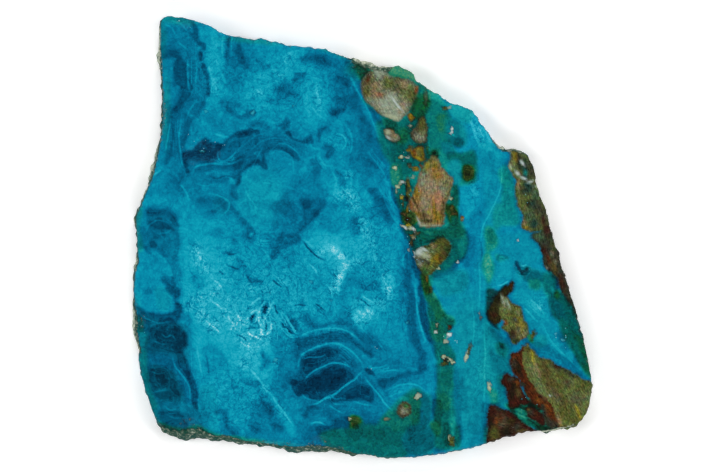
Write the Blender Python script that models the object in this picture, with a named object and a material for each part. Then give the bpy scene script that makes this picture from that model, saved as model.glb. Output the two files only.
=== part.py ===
"""A polished slab of chrysocolla, lying on its sawn back with the polished face up.

One solid stone: a flat polished face with a narrow eased edge, broken rough sides that lean out
at the left and the lower edge and slightly in elsewhere, chips along the rim, a crescent vug and
shallow crystal pockets in the face, and a flat sawn back. X and Y run across the face, +Z is up out of it, and the origin
is the centre of the back.
"""

import math

import bmesh
import bpy
import numpy as np
from mathutils import Vector, noise

MM = 0.001

# Driving dimensions, in millimetres.
THICKNESS = 7.0
EASED_EDGE = 0.25  # the polisher's rounding of the face's edge
OUTLINE_STEP = 1.25  # spacing of the points round the rim
LEDGE_RELIEF = 1.2  # how deep the broken sides are bitten
LEDGE_LENGTH = 3.2  # typical length of a ledge along the rim
LEDGE_HEIGHT = 1.5
LEAN_IN = 0.9  # how far the back is set in where the sides are undercut
FULL_BITE_DEPTH = 0.25  # share of the thickness below the face where the bites reach full depth
LEANING_BITE = 0.55  # sides that lean out are bitten less

# Heights of the rings that the sides are cut into; the last one is the foot of the eased edge.
RING_HEIGHTS = (0.9, 2.0, 3.1, 4.2, 5.3, 6.2, THICKNESS - EASED_EDGE)

# How far the leaning sides have come out to their full reach, against depth below the face.
REACH_AT_DEPTH = ((0.0, 0.0), (0.1, 0.25), (0.3, 0.7), (0.6, 1.0), (0.85, 0.95), (1.0, 0.8))

# The edge of the polished face, clockwise from the upper left corner, in millimetres.
TOP_EDGE = [
    (-50.4, 54.1), (-49.5, 55.0), (-48.4, 55.4), (-47.3, 55.4), (-46.4, 55.0), (-44.8, 55.2),
    (-43.4, 54.8), (-39.7, 53.6), (-37.4, 52.7), (-35.4, 51.3), (-33.9, 50.7), (-29.9, 50.0),
    (-26.4, 49.4), (-25.1, 49.9), (-23.2, 49.1), (-20.1, 48.5), (-18.6, 48.0), (-13.8, 47.6),
    (-11.8, 47.2), (-10.8, 47.4), (-9.0, 47.0), (-5.3, 45.5), (-2.9, 44.7), (-1.1, 44.7),
    (0.4, 44.1), (2.2, 43.9), (3.4, 43.1), (4.4, 42.7), (5.2, 43.1), (6.0, 42.6), (7.4, 42.5),
    (9.4, 42.9), (10.5, 42.2), (12.2, 41.4), (13.2, 40.8), (13.7, 39.5), (14.6, 38.4),
    (16.0, 37.6), (17.2, 36.6), (19.1, 35.9), (20.7, 34.5), (22.1, 33.6), (24.7, 32.9),
    (26.6, 32.3), (27.6, 31.5), (28.7, 30.4), (29.9, 28.4), (30.8, 27.4), (31.6, 26.1),
    (33.4, 23.9), (34.8, 22.3),
]
RIGHT_EDGE = [
    (35.4, 22.7), (36.1, 22.1), (37.7, 22.0), (40.6, 21.3), (41.6, 20.6), (42.7, 18.3),
    (43.4, 15.8), (43.4, 14.4), (44.4, 11.7), (44.5, 10.6), (45.9, 7.7), (46.6, 4.5),
    (48.1, -0.6), (48.6, -2.4), (49.5, -3.8), (49.5, -5.4), (51.1, -10.4), (53.6, -18.3),
    (54.5, -22.4), (55.5, -25.3), (56.6, -30.3), (57.4, -34.9), (57.6, -37.0), (57.6, -38.9),
    (56.8, -42.4), (55.9, -44.5), (55.1, -45.7), (54.1, -46.6),
]
BOTTOM_EDGE = [
    (52.9, -47.3), (51.3, -47.8), (49.6, -47.8), (46.1, -48.6), (44.9, -48.4), (42.6, -48.4),
    (39.3, -48.7), (37.8, -49.3), (35.9, -49.7), (32.4, -51.1), (29.3, -52.1), (27.1, -52.7),
    (22.1, -53.5), (17.9, -54.3), (12.1, -55.0), (6.8, -55.1), (4.4, -55.0), (2.3, -54.4),
    (-2.1, -54.1), (-5.4, -52.7), (-7.1, -52.1), (-9.1, -51.9), (-12.9, -52.3), (-17.9, -51.8),
    (-22.4, -51.2), (-24.9, -51.0), (-29.6, -51.1), (-31.6, -50.4), (-33.4, -49.6),
    (-35.4, -49.7), (-37.4, -49.4), (-38.9, -48.7), (-40.4, -48.2), (-42.4, -48.0),
    (-45.4, -48.4), (-49.1, -47.4), (-50.4, -46.7),
]
LEFT_EDGE = [
    (-51.2, -45.6), (-52.4, -43.4), (-52.9, -41.7), (-54.9, -35.2), (-55.6, -30.9),
    (-55.6, -28.7), (-55.4, -27.4), (-55.9, -25.9), (-56.4, -22.2), (-56.7, -14.2),
    (-56.6, -8.7), (-55.8, -5.4), (-56.2, 2.3), (-56.2, 4.8), (-55.1, 8.6), (-54.1, 11.6),
    (-53.5, 12.6), (-53.3, 13.7), (-52.5, 14.7), (-51.1, 21.1), (-49.5, 27.6), (-49.1, 32.1),
    (-49.9, 38.3), (-50.3, 42.3), (-50.3, 44.3), (-50.7, 48.3), (-50.6, 52.8),
]

# Where the broken sides lean out past the polished face, clockwise: place and reach.
RIM_REACH = [
    ((54.1, -46.6), 0.1), ((51.3, -47.8), 0.4), ((46.1, -48.6), 0.4), ((42.6, -48.4), 0.1),
    ((37.8, -49.3), 0.45), ((32.4, -51.1), 0.1), ((17.9, -54.3), 0.3), ((12.1, -55.0), 0.1),
    ((6.8, -55.1), 0.3), ((0.0, -54.2), 0.15), ((-2.9, -53.9), 0.9), ((-5.4, -52.7), 1.5),
    ((-9.1, -51.9), 2.0), ((-12.9, -52.3), 1.6), ((-17.9, -51.8), 2.35), ((-20.0, -51.4), 1.7),
    ((-24.9, -51.0), 1.5), ((-27.4, -51.1), 0.7), ((-31.6, -50.4), 1.1), ((-33.4, -49.6), 1.5),
    ((-35.4, -49.7), 1.2), ((-38.9, -48.7), 2.2), ((-41.4, -48.1), 2.9), ((-43.9, -48.2), 2.8),
    ((-46.2, -48.2), 1.9), ((-49.1, -47.4), 1.6), ((-50.4, -46.7), 0.9), ((-51.2, -45.6), 0.2),
    ((-52.9, -41.7), 0.0), ((-55.6, -28.7), 0.15), ((-55.9, -25.9), 0.8), ((-56.3, -23.0), 1.1),
    ((-56.4, -19.7), 1.1), ((-56.7, -14.2), 0.65), ((-56.6, -11.4), 0.95), ((-56.6, -8.7), 0.8),
    ((-56.3, -6.7), 0.5), ((-55.8, -2.7), 0.4), ((-56.2, 2.3), 0.5), ((-56.2, 4.4), 1.15),
    ((-55.8, 6.8), 0.5), ((-54.6, 10.3), 0.2), ((-53.4, 13.2), 0.0), ((-52.7, 14.9), 1.2),
    ((-51.6, 18.8), 0.75), ((-50.4, 23.6), 0.6), ((-49.8, 25.8), 0.4), ((-49.5, 27.4), 1.05),
    ((-49.2, 29.8), 0.7), ((-49.1, 32.1), 1.1), ((-49.6, 35.3), 0.3), ((-50.1, 40.6), 0.0),
    ((-50.3, 45.0), 1.0), ((-50.6, 46.6), 0.3), ((-50.7, 48.3), 0.0), ((-46.4, 55.0), 0.0),
]

# Chips that broke out of the rim: place on the face, radius of the scoop and its depth.
RIM_CHIPS = [
    ((0.6, 43.9), 3.2, 0.9),
    ((3.9, 42.2), 3.4, 1.1),
    ((-43.9, 54.9), 3.0, 0.7),
    ((14.0, 39.9), 2.6, 0.8),
    ((-56.6, -21.0), 2.6, 0.7),
    ((-43.0, -48.4), 3.6, 0.8),
    ((-10.5, -52.6), 3.4, 0.7),
    ((38.9, -49.4), 2.4, 0.7),
    ((36.2, 22.9), 1.6, 0.6),
]

# The crescent vug near the right edge, as scoops along its line: place, radius and depth.
VUG_SCOOPS = [
    ((38.9, -6.7), 0.8, 0.7),
    ((39.1, -7.6), 0.95, 1.0),
    ((39.8, -8.4), 1.0, 1.2),
    ((40.7, -8.6), 0.95, 1.0),
    ((41.6, -8.1), 0.8, 0.7),
]

# Shallow pockets lined with fine crystals, in the same way.
POCKET_SCOOPS = [
    ((-42.2, 20.4), 2.6, 0.5),
    ((-39.8, 21.6), 2.8, 0.6),
    ((-37.4, 20.9), 2.4, 0.5),
    ((33.1, -13.9), 1.3, 0.4),
    ((32.7, -16.3), 1.3, 0.5),
]

CHRYSOCOLLA_BLUE = (0.0, 0.28, 0.42)
POLISH_ROUGHNESS = 0.15


def clear_scene():
    """Removes what the startup scene holds."""
    for found in list(bpy.data.objects):
        bpy.data.objects.remove(found)


def resampled(corners, step):
    """Points round a closed outline, evenly spaced on each straight run, about step apart."""
    points = []
    for here, there in zip(corners, corners[1:] + corners[:1]):
        parts = max(1, round(math.dist(here, there) / step))
        points.extend(np.linspace(here, there, parts, endpoint=False))
    return np.array(points)


def outward_normals(points):
    """Unit normals of a clockwise outline, smoothed over the neighbours on both sides."""
    along = sum(np.roll(points, -k, 0) - np.roll(points, k, 0) for k in (1, 2, 3))
    normals = np.stack([-along[:, 1], along[:, 0]], 1)
    return normals / np.linalg.norm(normals, axis=1)[:, None]


def reach_round(points):
    """How far the side leans out at each point: the stations' reach, and leaning in between them."""
    steps = np.linalg.norm(np.roll(points, -1, 0) - points, axis=1)
    places = np.concatenate([[0.0], np.cumsum(steps)[:-1]])
    stations = []
    for station, reach in RIM_REACH:
        nearest = np.linalg.norm(points - np.array(station), axis=1).argmin()
        stations.append((places[nearest], reach))
    at, reach = np.array(sorted(stations)).T
    lean = [LEAN_IN * (0.6 + 0.5 * noise.noise(Vector((x * 0.11, y * 0.11, 4.0)))) for x, y in points]
    leaning_in = (places < at[0]) | (places > at[-1])
    return np.where(leaning_in, -np.array(lean), np.interp(places, at, reach))


def ledge_bite(x, y, height):
    """How deep a broken side is bitten at a place: stepped ledges with softer lumps on them."""
    lumps = noise.fractal(Vector((x / LEDGE_LENGTH, y / LEDGE_LENGTH, height / LEDGE_HEIGHT)), 1.0, 2.0, 3)
    steps = noise.cell(Vector((x * 0.35 + 9.0, y * 0.35, height * 0.45 + lumps)))
    return LEDGE_RELIEF * min(1.0, max(0.0, 0.45 + 0.5 * lumps + 0.3 * (steps - 0.5)))


def side_offset(x, y, height, reach):
    """How far out of the face's edge the broken side stands at a height."""
    depth = 1.0 - height / THICKNESS
    out = reach * np.interp(depth, *zip(*REACH_AT_DEPTH))
    bite = ledge_bite(x, y, height) * min(1.0, depth / FULL_BITE_DEPTH)
    return out - bite * (LEANING_BITE if reach > 0 else 1.0)


def blank(points):
    """The slab before its sides are broken: the outline as a flat curve, extruded and made a mesh."""
    curve = bpy.data.curves.new("outline", "CURVE")
    curve.dimensions = "2D"
    curve.fill_mode = "BOTH"
    curve.extrude = THICKNESS / 2 * MM
    spline = curve.splines.new("POLY")
    spline.points.add(len(points) - 1)
    for corner, (x, y) in zip(spline.points, points):
        corner.co = (x * MM, y * MM, 0.0, 1.0)
    spline.use_cyclic_u = True
    guide = bpy.data.objects.new("outline", curve)
    bpy.context.scene.collection.objects.link(guide)
    graph = bpy.context.evaluated_depsgraph_get()
    mesh = bpy.data.meshes.new_from_object(guide.evaluated_get(graph))
    bpy.data.objects.remove(guide)
    mesh.name = "chrysocolla_slab"
    return mesh


def break_sides(mesh, points):
    """Cuts the sides into rings, and moves each point of them out or in to the broken surface."""
    normals = outward_normals(points)
    reach = reach_round(points)
    shape = bmesh.new()
    shape.from_mesh(mesh)
    bmesh.ops.remove_doubles(shape, verts=shape.verts, dist=0.01 * MM)
    bmesh.ops.translate(shape, verts=shape.verts, vec=(0, 0, THICKNESS / 2 * MM))
    for facing in (1, -1):
        cap = [face for face in shape.faces if face.normal.z * facing > 0.9]
        bmesh.ops.dissolve_faces(shape, faces=cap)
    for height in RING_HEIGHTS:
        bmesh.ops.bisect_plane(
            shape,
            geom=shape.verts[:] + shape.edges[:] + shape.faces[:],
            dist=0.001 * MM,
            plane_co=(0, 0, height * MM),
            plane_no=(0, 0, 1),
        )
    for vert in shape.verts:
        x, y, height = vert.co / MM
        nearest = np.linalg.norm(points - (x, y), axis=1).argmin()
        if height > THICKNESS - EASED_EDGE / 2:
            offset = -EASED_EDGE
        elif height > RING_HEIGHTS[-1] - EASED_EDGE / 2:
            offset = 0.0
        else:
            offset = side_offset(x, y, height, reach[nearest])
        vert.co += Vector((*normals[nearest], 0.0)) * offset * MM
    centre_on_back(shape)
    bmesh.ops.recalc_face_normals(shape, faces=shape.faces)
    shape.to_mesh(mesh)
    shape.free()


def centre_on_back(shape):
    """Puts the centre of the slab's box over the origin."""
    places = np.array([vert.co for vert in shape.verts])
    middle = (places.min(0) + places.max(0)) / 2
    bmesh.ops.translate(shape, verts=shape.verts, vec=(-middle[0], -middle[1], 0))


def scoop_cutter(collection, name, place, radius, depth):
    """A ball that takes a scoop of this radius and depth out of the polished face."""
    ball_radius = (radius * radius + depth * depth) / (2 * depth)
    shape = bmesh.new()
    bmesh.ops.create_icosphere(shape, subdivisions=3, radius=ball_radius * MM)
    mesh = bpy.data.meshes.new(name)
    shape.to_mesh(mesh)
    shape.free()
    ball = bpy.data.objects.new(name, mesh)
    ball.location = Vector((*place, THICKNESS - depth + ball_radius)) * MM
    ball.hide_render = True
    ball.display_type = "WIRE"
    collection.objects.link(ball)
    return ball


def cut(target, cutter):
    """Takes the cutter out of the target with a Boolean."""
    modifier = target.modifiers.new(cutter.name, "BOOLEAN")
    modifier.operation = "DIFFERENCE"
    modifier.solver = "EXACT"
    modifier.object = cutter


def polished_stone():
    """Polished chrysocolla: deep blue-green and glossy."""
    material = bpy.data.materials.new("polished_chrysocolla")
    material.use_nodes = True
    surface = material.node_tree.nodes["Principled BSDF"]
    surface.inputs["Base Color"].default_value = (*CHRYSOCOLLA_BLUE, 1.0)
    surface.inputs["Roughness"].default_value = POLISH_ROUGHNESS
    surface.inputs["Metallic"].default_value = 0.0
    return material


def main():
    clear_scene()
    stone = bpy.data.collections.new("chrysocolla_specimen")
    cutters = bpy.data.collections.new("cutters")
    for collection in (stone, cutters):
        bpy.context.scene.collection.children.link(collection)
    points = resampled(TOP_EDGE + RIGHT_EDGE + BOTTOM_EDGE + LEFT_EDGE, OUTLINE_STEP)
    mesh = blank(points)
    break_sides(mesh, points)
    mesh.materials.append(polished_stone())
    slab = bpy.data.objects.new("chrysocolla_slab", mesh)
    stone.objects.link(slab)
    for number, (place, radius, depth) in enumerate(RIM_CHIPS + VUG_SCOOPS + POCKET_SCOOPS, 1):
        cut(slab, scoop_cutter(cutters, f"scoop_{number}", place, radius, depth))


main()
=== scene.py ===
"""A polished slab of chrysocolla on a pale floor, seen from straight above.

The stone's pattern is drawn in code on a map of its face: tones of blue and green, agate lines,
clouds of frost and fragments of rock, which the material then sharpens with fine grain.
"""

import math

import bpy
import numpy as np
from bpy.props import FloatProperty, FloatVectorProperty, PointerProperty
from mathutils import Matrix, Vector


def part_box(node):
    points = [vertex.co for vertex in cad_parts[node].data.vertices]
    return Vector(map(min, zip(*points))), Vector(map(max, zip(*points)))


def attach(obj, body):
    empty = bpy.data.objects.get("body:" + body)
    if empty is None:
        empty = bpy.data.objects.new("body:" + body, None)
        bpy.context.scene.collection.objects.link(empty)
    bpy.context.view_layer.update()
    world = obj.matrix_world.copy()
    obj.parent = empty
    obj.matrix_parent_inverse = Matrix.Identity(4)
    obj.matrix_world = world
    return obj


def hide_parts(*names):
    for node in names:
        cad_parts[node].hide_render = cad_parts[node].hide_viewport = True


bl_info = {
    "name": "Chrysocolla Slab",
    "version": (1, 0, 0),
    "blender": (4, 5, 0),
    "location": "View3D > Sidebar > Slab",
    "description": "Makes a polished slab of chrysocolla and its stage",
    "category": "Add Mesh",
}

MM = 0.001
SLAB = "chrysocolla_slab"

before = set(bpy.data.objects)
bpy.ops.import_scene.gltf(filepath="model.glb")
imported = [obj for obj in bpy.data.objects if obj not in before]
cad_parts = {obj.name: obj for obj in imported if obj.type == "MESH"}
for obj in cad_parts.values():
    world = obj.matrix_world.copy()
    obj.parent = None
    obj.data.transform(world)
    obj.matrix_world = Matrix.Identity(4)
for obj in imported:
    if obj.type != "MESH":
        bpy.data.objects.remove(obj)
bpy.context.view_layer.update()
SLAB_LOW, SLAB_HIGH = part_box(SLAB)
THICKNESS_MM = (SLAB_HIGH[2] - SLAB_LOW[2]) / MM

TONE_TOP = 200  # the tone of white stone
QUARTZ_IOR = 1.54
SENSOR_MM = 36.0
CAMERA_END = 50.0  # metres
PICTURE_CENTRE = (354.0, 236.0)  # the map's place under the middle of the camera's view
PICTURE_WIDTH = 708  # how many map units the camera's view is across
FLOOR_GAP_MM = 0.05  # how far below the slab's back the floor lies
FLOOR_CELLS = 8
SOFTBOX_TURNS = (0, 90, 180, 270)  # where the softboxes hang round the slab, in degrees
SOFTBOX_RISE = 48  # how high they hang, in degrees above the floor
SOFTBOX_REACH = 2.0  # metres
SOFTBOX_SIZE = 0.9  # metres
ROOM_COLOUR = (0.9, 0.95, 1.0, 1.0)
ROOM_LIGHT = 0.02
FLOOR_GLOW = 0.22

# ---------------------------------------------------------------------------------------------
# The pattern, drawn on a map of the polished face. The map's unit is a quarter of a millimetre,
# x runs to the right and y down the face, and MAP_CENTRE is the place over the slab's origin.
# Tones run from 0, black, through 100, bright cyan, to 200, white. Hues run from 0, blue,
# through 1, green-teal, to 2, leaf green.
# ---------------------------------------------------------------------------------------------
MAP_UNIT_MM = 0.25
MAP_CENTRE = (361.75, 237.25)

BASE_TONE = 100
BASE_HUE = -0.03

# Broad soft clouds of tone: place, reach across and up, turn in degrees, tone.
CLOUDS = [
    # the left column
    (180, 38, 24, 22, 0, 88), (183, 85, 17, 40, 0, 68), (216, 68, 13, 46, 0, 112),
    (240, 60, 15, 22, 10, 84), (262, 88, 20, 24, 20, 114), (182, 130, 15, 34, 0, 74),
    (210, 118, 22, 12, 0, 94), (216, 152, 34, 14, 0, 64), (262, 150, 34, 16, 0, 70),
    (300, 140, 24, 10, 10, 84), (188, 178, 26, 12, -20, 84), (159, 226, 20, 19, 0, 66),
    (160, 318, 24, 13, 0, 64), (164, 337, 30, 18, 0, 48), (158, 381, 22, 14, 0, 52),
    (184, 362, 9, 22, 0, 62), (166, 404, 20, 10, 0, 72), (172, 424, 22, 12, 0, 66),
    # the soft field to the right of it
    (212, 204, 26, 13, 0, 82), (196, 232, 24, 18, 0, 112), (205, 262, 20, 26, -30, 124),
    (212, 300, 30, 36, 0, 126), (240, 326, 30, 34, 0, 130), (256, 356, 18, 26, 0, 134),
    (205, 348, 16, 30, 0, 120), (262, 290, 34, 18, 0, 112), (224, 372, 22, 16, 0, 100),
    (214, 404, 26, 26, 0, 94), (266, 412, 14, 16, 0, 78), (212, 430, 24, 12, 0, 84),
    (250, 432, 14, 12, 0, 88),
    # the swirl and the light field
    (262, 196, 24, 34, 0, 104), (286, 207, 16, 12, 20, 76), (312, 200, 18, 18, 0, 68),
    (302, 224, 18, 16, 45, 74), (282, 245, 18, 14, 30, 80), (316, 60, 26, 9, 10, 74),
    (290, 92, 14, 10, 0, 84), (346, 82, 14, 24, 0, 72), (314, 96, 11, 26, 0, 112),
    (290, 60, 18, 16, 0, 112), (332, 132, 26, 24, 0, 100), (350, 196, 22, 16, 30, 122),
    (330, 218, 24, 14, 0, 96), (330, 250, 24, 16, 25, 142), (364, 242, 14, 34, -15, 122),
    (364, 281, 18, 14, 0, 82), (366, 312, 18, 14, 0, 134), (300, 280, 44, 30, 0, 108),
    (322, 308, 26, 14, 0, 98),
    # the dark pool, the fan above it and the foot of the slab
    (326, 340, 44, 9, 0, 80), (300, 352, 18, 14, 0, 66), (322, 376, 38, 24, -15, 48),
    (350, 389, 30, 11, 0, 58), (392, 380, 26, 8, 0, 74), (390, 340, 26, 36, 0, 102),
    (340, 408, 44, 8, 0, 84), (340, 430, 44, 16, 0, 68), (395, 436, 36, 20, 0, 66),
    (290, 414, 12, 26, 15, 98), (394, 362, 24, 10, 0, 92),
    # the flank of the blue zone
    (366, 118, 16, 34, -20, 84), (366, 160, 16, 22, 0, 80), (378, 204, 14, 16, 0, 80),
    (396, 256, 12, 26, -15, 84), (410, 308, 10, 44, -8, 78), (372, 180, 20, 10, 0, 94),
]

# Bands and patches, soft at their edges: tone, half width, path. Later ones lie over earlier ones.
BANDS = [
    # the upper left corner and the left column
    (58, 3, "189,22 194,26 197,31"), (60, 2, "229,33 227,47 228,64"),
    (62, 3, "171,118 174,134 171,150 167,162"), (78, 3, "216,100 228,103 238,106"),
    (66, 3, "225,107 234,114 243,117 254,112"),
    # the dark pocket and the bands under it
    (62, 3, "196,170 210,168 226,168 240,166"), (104, 3.4, "208,173 218,171 232,172"),
    (78, 3, "205,179 216,181 228,179"), (66, 3, "190,160 186,170 180,182"),
    (70, 3, "172,176 178,186 184,196"),
    # the swirl's rings
    (66, 3, "250,126 260,124 268,127"), (62, 3.2, "258,132 257,140 250,148 244,158"),
    (78, 3, "312,160 318,170 314,180"),
    # the dark band that slants down from the swirl
    (90, 3, "296,204 302,210 298,218"), (84, 3, "284,256 290,262 284,268"),
    (62, 2.4, "232,206 240,217 247,224 254,231"), (70, 3, "247,230 246,236 252,241"),
    # patches along the upper edge
    (60, 4, "304,60 314,58 328,63"), (62, 3, "294,80 300,76 305,73"), (62, 4.5, "278,88 286,91 295,95"),
    (56, 4, "238,46 240,56 246,66"), (74, 3, "232,50 232,62 238,72"), (58, 4, "338,78 344,82 348,88"),
    (50, 3.4, "332,114 338,110 345,107"), (60, 4, "336,100 346,100 356,98"),
    (60, 3, "347,62 352,66 358,72"), (66, 3, "318,136 322,131 326,127"),
    (56, 3, "326,146 330,151 328,156"), (78, 2.4, "336,170 341,176 345,185"),
    (80, 3, "256,60 264,66 272,64"), (78, 3, "268,100 276,102 280,98"),
    # the left lobe
    (58, 3, "141,217 145,212 156,211 166,211 173,216 178,226"),
    (58, 4, "164,276 169,284 174,293 176,298"), (66, 3, "176,300 177,312 174,322"),
    (60, 3, "137,307 144,312 155,316 168,317 178,310"),
    # the near-black patches below it
    (36, 8, "158,336 168,334 178,338"), (38, 4, "176,328 184,336 186,344"),
    (44, 3.4, "174,343 180,355 183,365 188,375 193,387 194,400 197,411"),
    (46, 4, "148,368 152,378 150,388"), (52, 4, "164,424 172,428 184,430"),
    # strokes in the soft field
    (76, 4, "202,198 212,202 224,204 228,212"), (70, 3, "196,206 204,210 214,212"),
    (66, 2.4, "217,412 224,414 230,413"), (72, 3, "232,381 244,382 258,383"),
    (60, 3.4, "250,422 254,426 258,430"), (62, 3.4, "272,424 276,427 281,430"),
    (78, 4, "206,388 204,402 208,416"), (84, 4, "240,262 243,266 246,268"),
    (64, 3, "248,276 252,281 260,282"), (92, 5, "230,236 236,244 232,252"),
    (84, 4, "262,352 266,360 262,368"), (76, 3, "244,266 240,260 236,256"),
    (100, 5, "228,268 238,276 236,286"),
    # the fan over the dark pool
    (64, 3.4, "302,318 308,322 318,327 330,325 343,324 354,330 364,340 371,350"),
    (76, 3, "302,306 304,314 310,321"), (104, 4, "300,336 314,331 330,328 342,329 354,335 364,345"),
    (96, 2.6, "299,366 301,357 308,351 322,345 336,343 348,348 358,358"),
    (74, 3, "303,381 309,374 323,367 336,362 348,366 358,372"),
    # the foot of the slab
    (92, 2.6, "312,424 320,421 330,423"), (76, 5, "300,440 318,442 336,446"),
    # the flank of the blue zone: the light ribbons and the dark bands beside them
    (68, 5, "352,82 360,94 362,110"), (64, 6, "362,118 368,128 370,140"),
    (66, 4, "364,158 372,162 379,166"), (58, 3.4, "366,190 371,192 376,190"),
    (60, 5, "378,198 384,204 388,212 390,220"),
    (50, 3.4, "398,262 405,276 410,292 412,310 413,326 417,340 423,354 420,370"),
    (60, 4, "412,268 404,274 402,284"),
    (104, 3, "352,80 361,96 373,122 379,140 386,160 387,182 390,198 394,212 401,230 407,246"),
    (52, 2.6, "419,286 421,300 424,322 429,336 434,346"), (66, 4, "368,336 376,344 386,352"),
    (70, 3, "354,330 362,340 368,348"),
    # the light field's deeper patches
    (92, 4, "316,276 320,282 316,288"), (96, 5, "322,226 334,228 346,226"),
    (88, 3, "336,206 344,204 350,208"), (90, 4, "340,316 348,312 350,320"),
    (70, 3, "262,300 264,308 266,314"), (84, 3, "250,316 254,322 250,326"),
]

# Bands of the right side, in the same way.
RIGHT_BANDS = [
    # the turquoise bands
    (124, 6, "470,112 478,126 486,140 490,152"), (84, 3, "498,176 488,196 480,213 473,235 470,256"),
    (84, 4, "474,244 476,258 474,272"), (100, 5, "468,260 478,284 476,300"),
    (84, 4, "478,312 482,318 478,324"), (84, 5, "462,376 464,392 466,408"),
    (78, 4, "492,352 498,364 500,376"),
]

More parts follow.
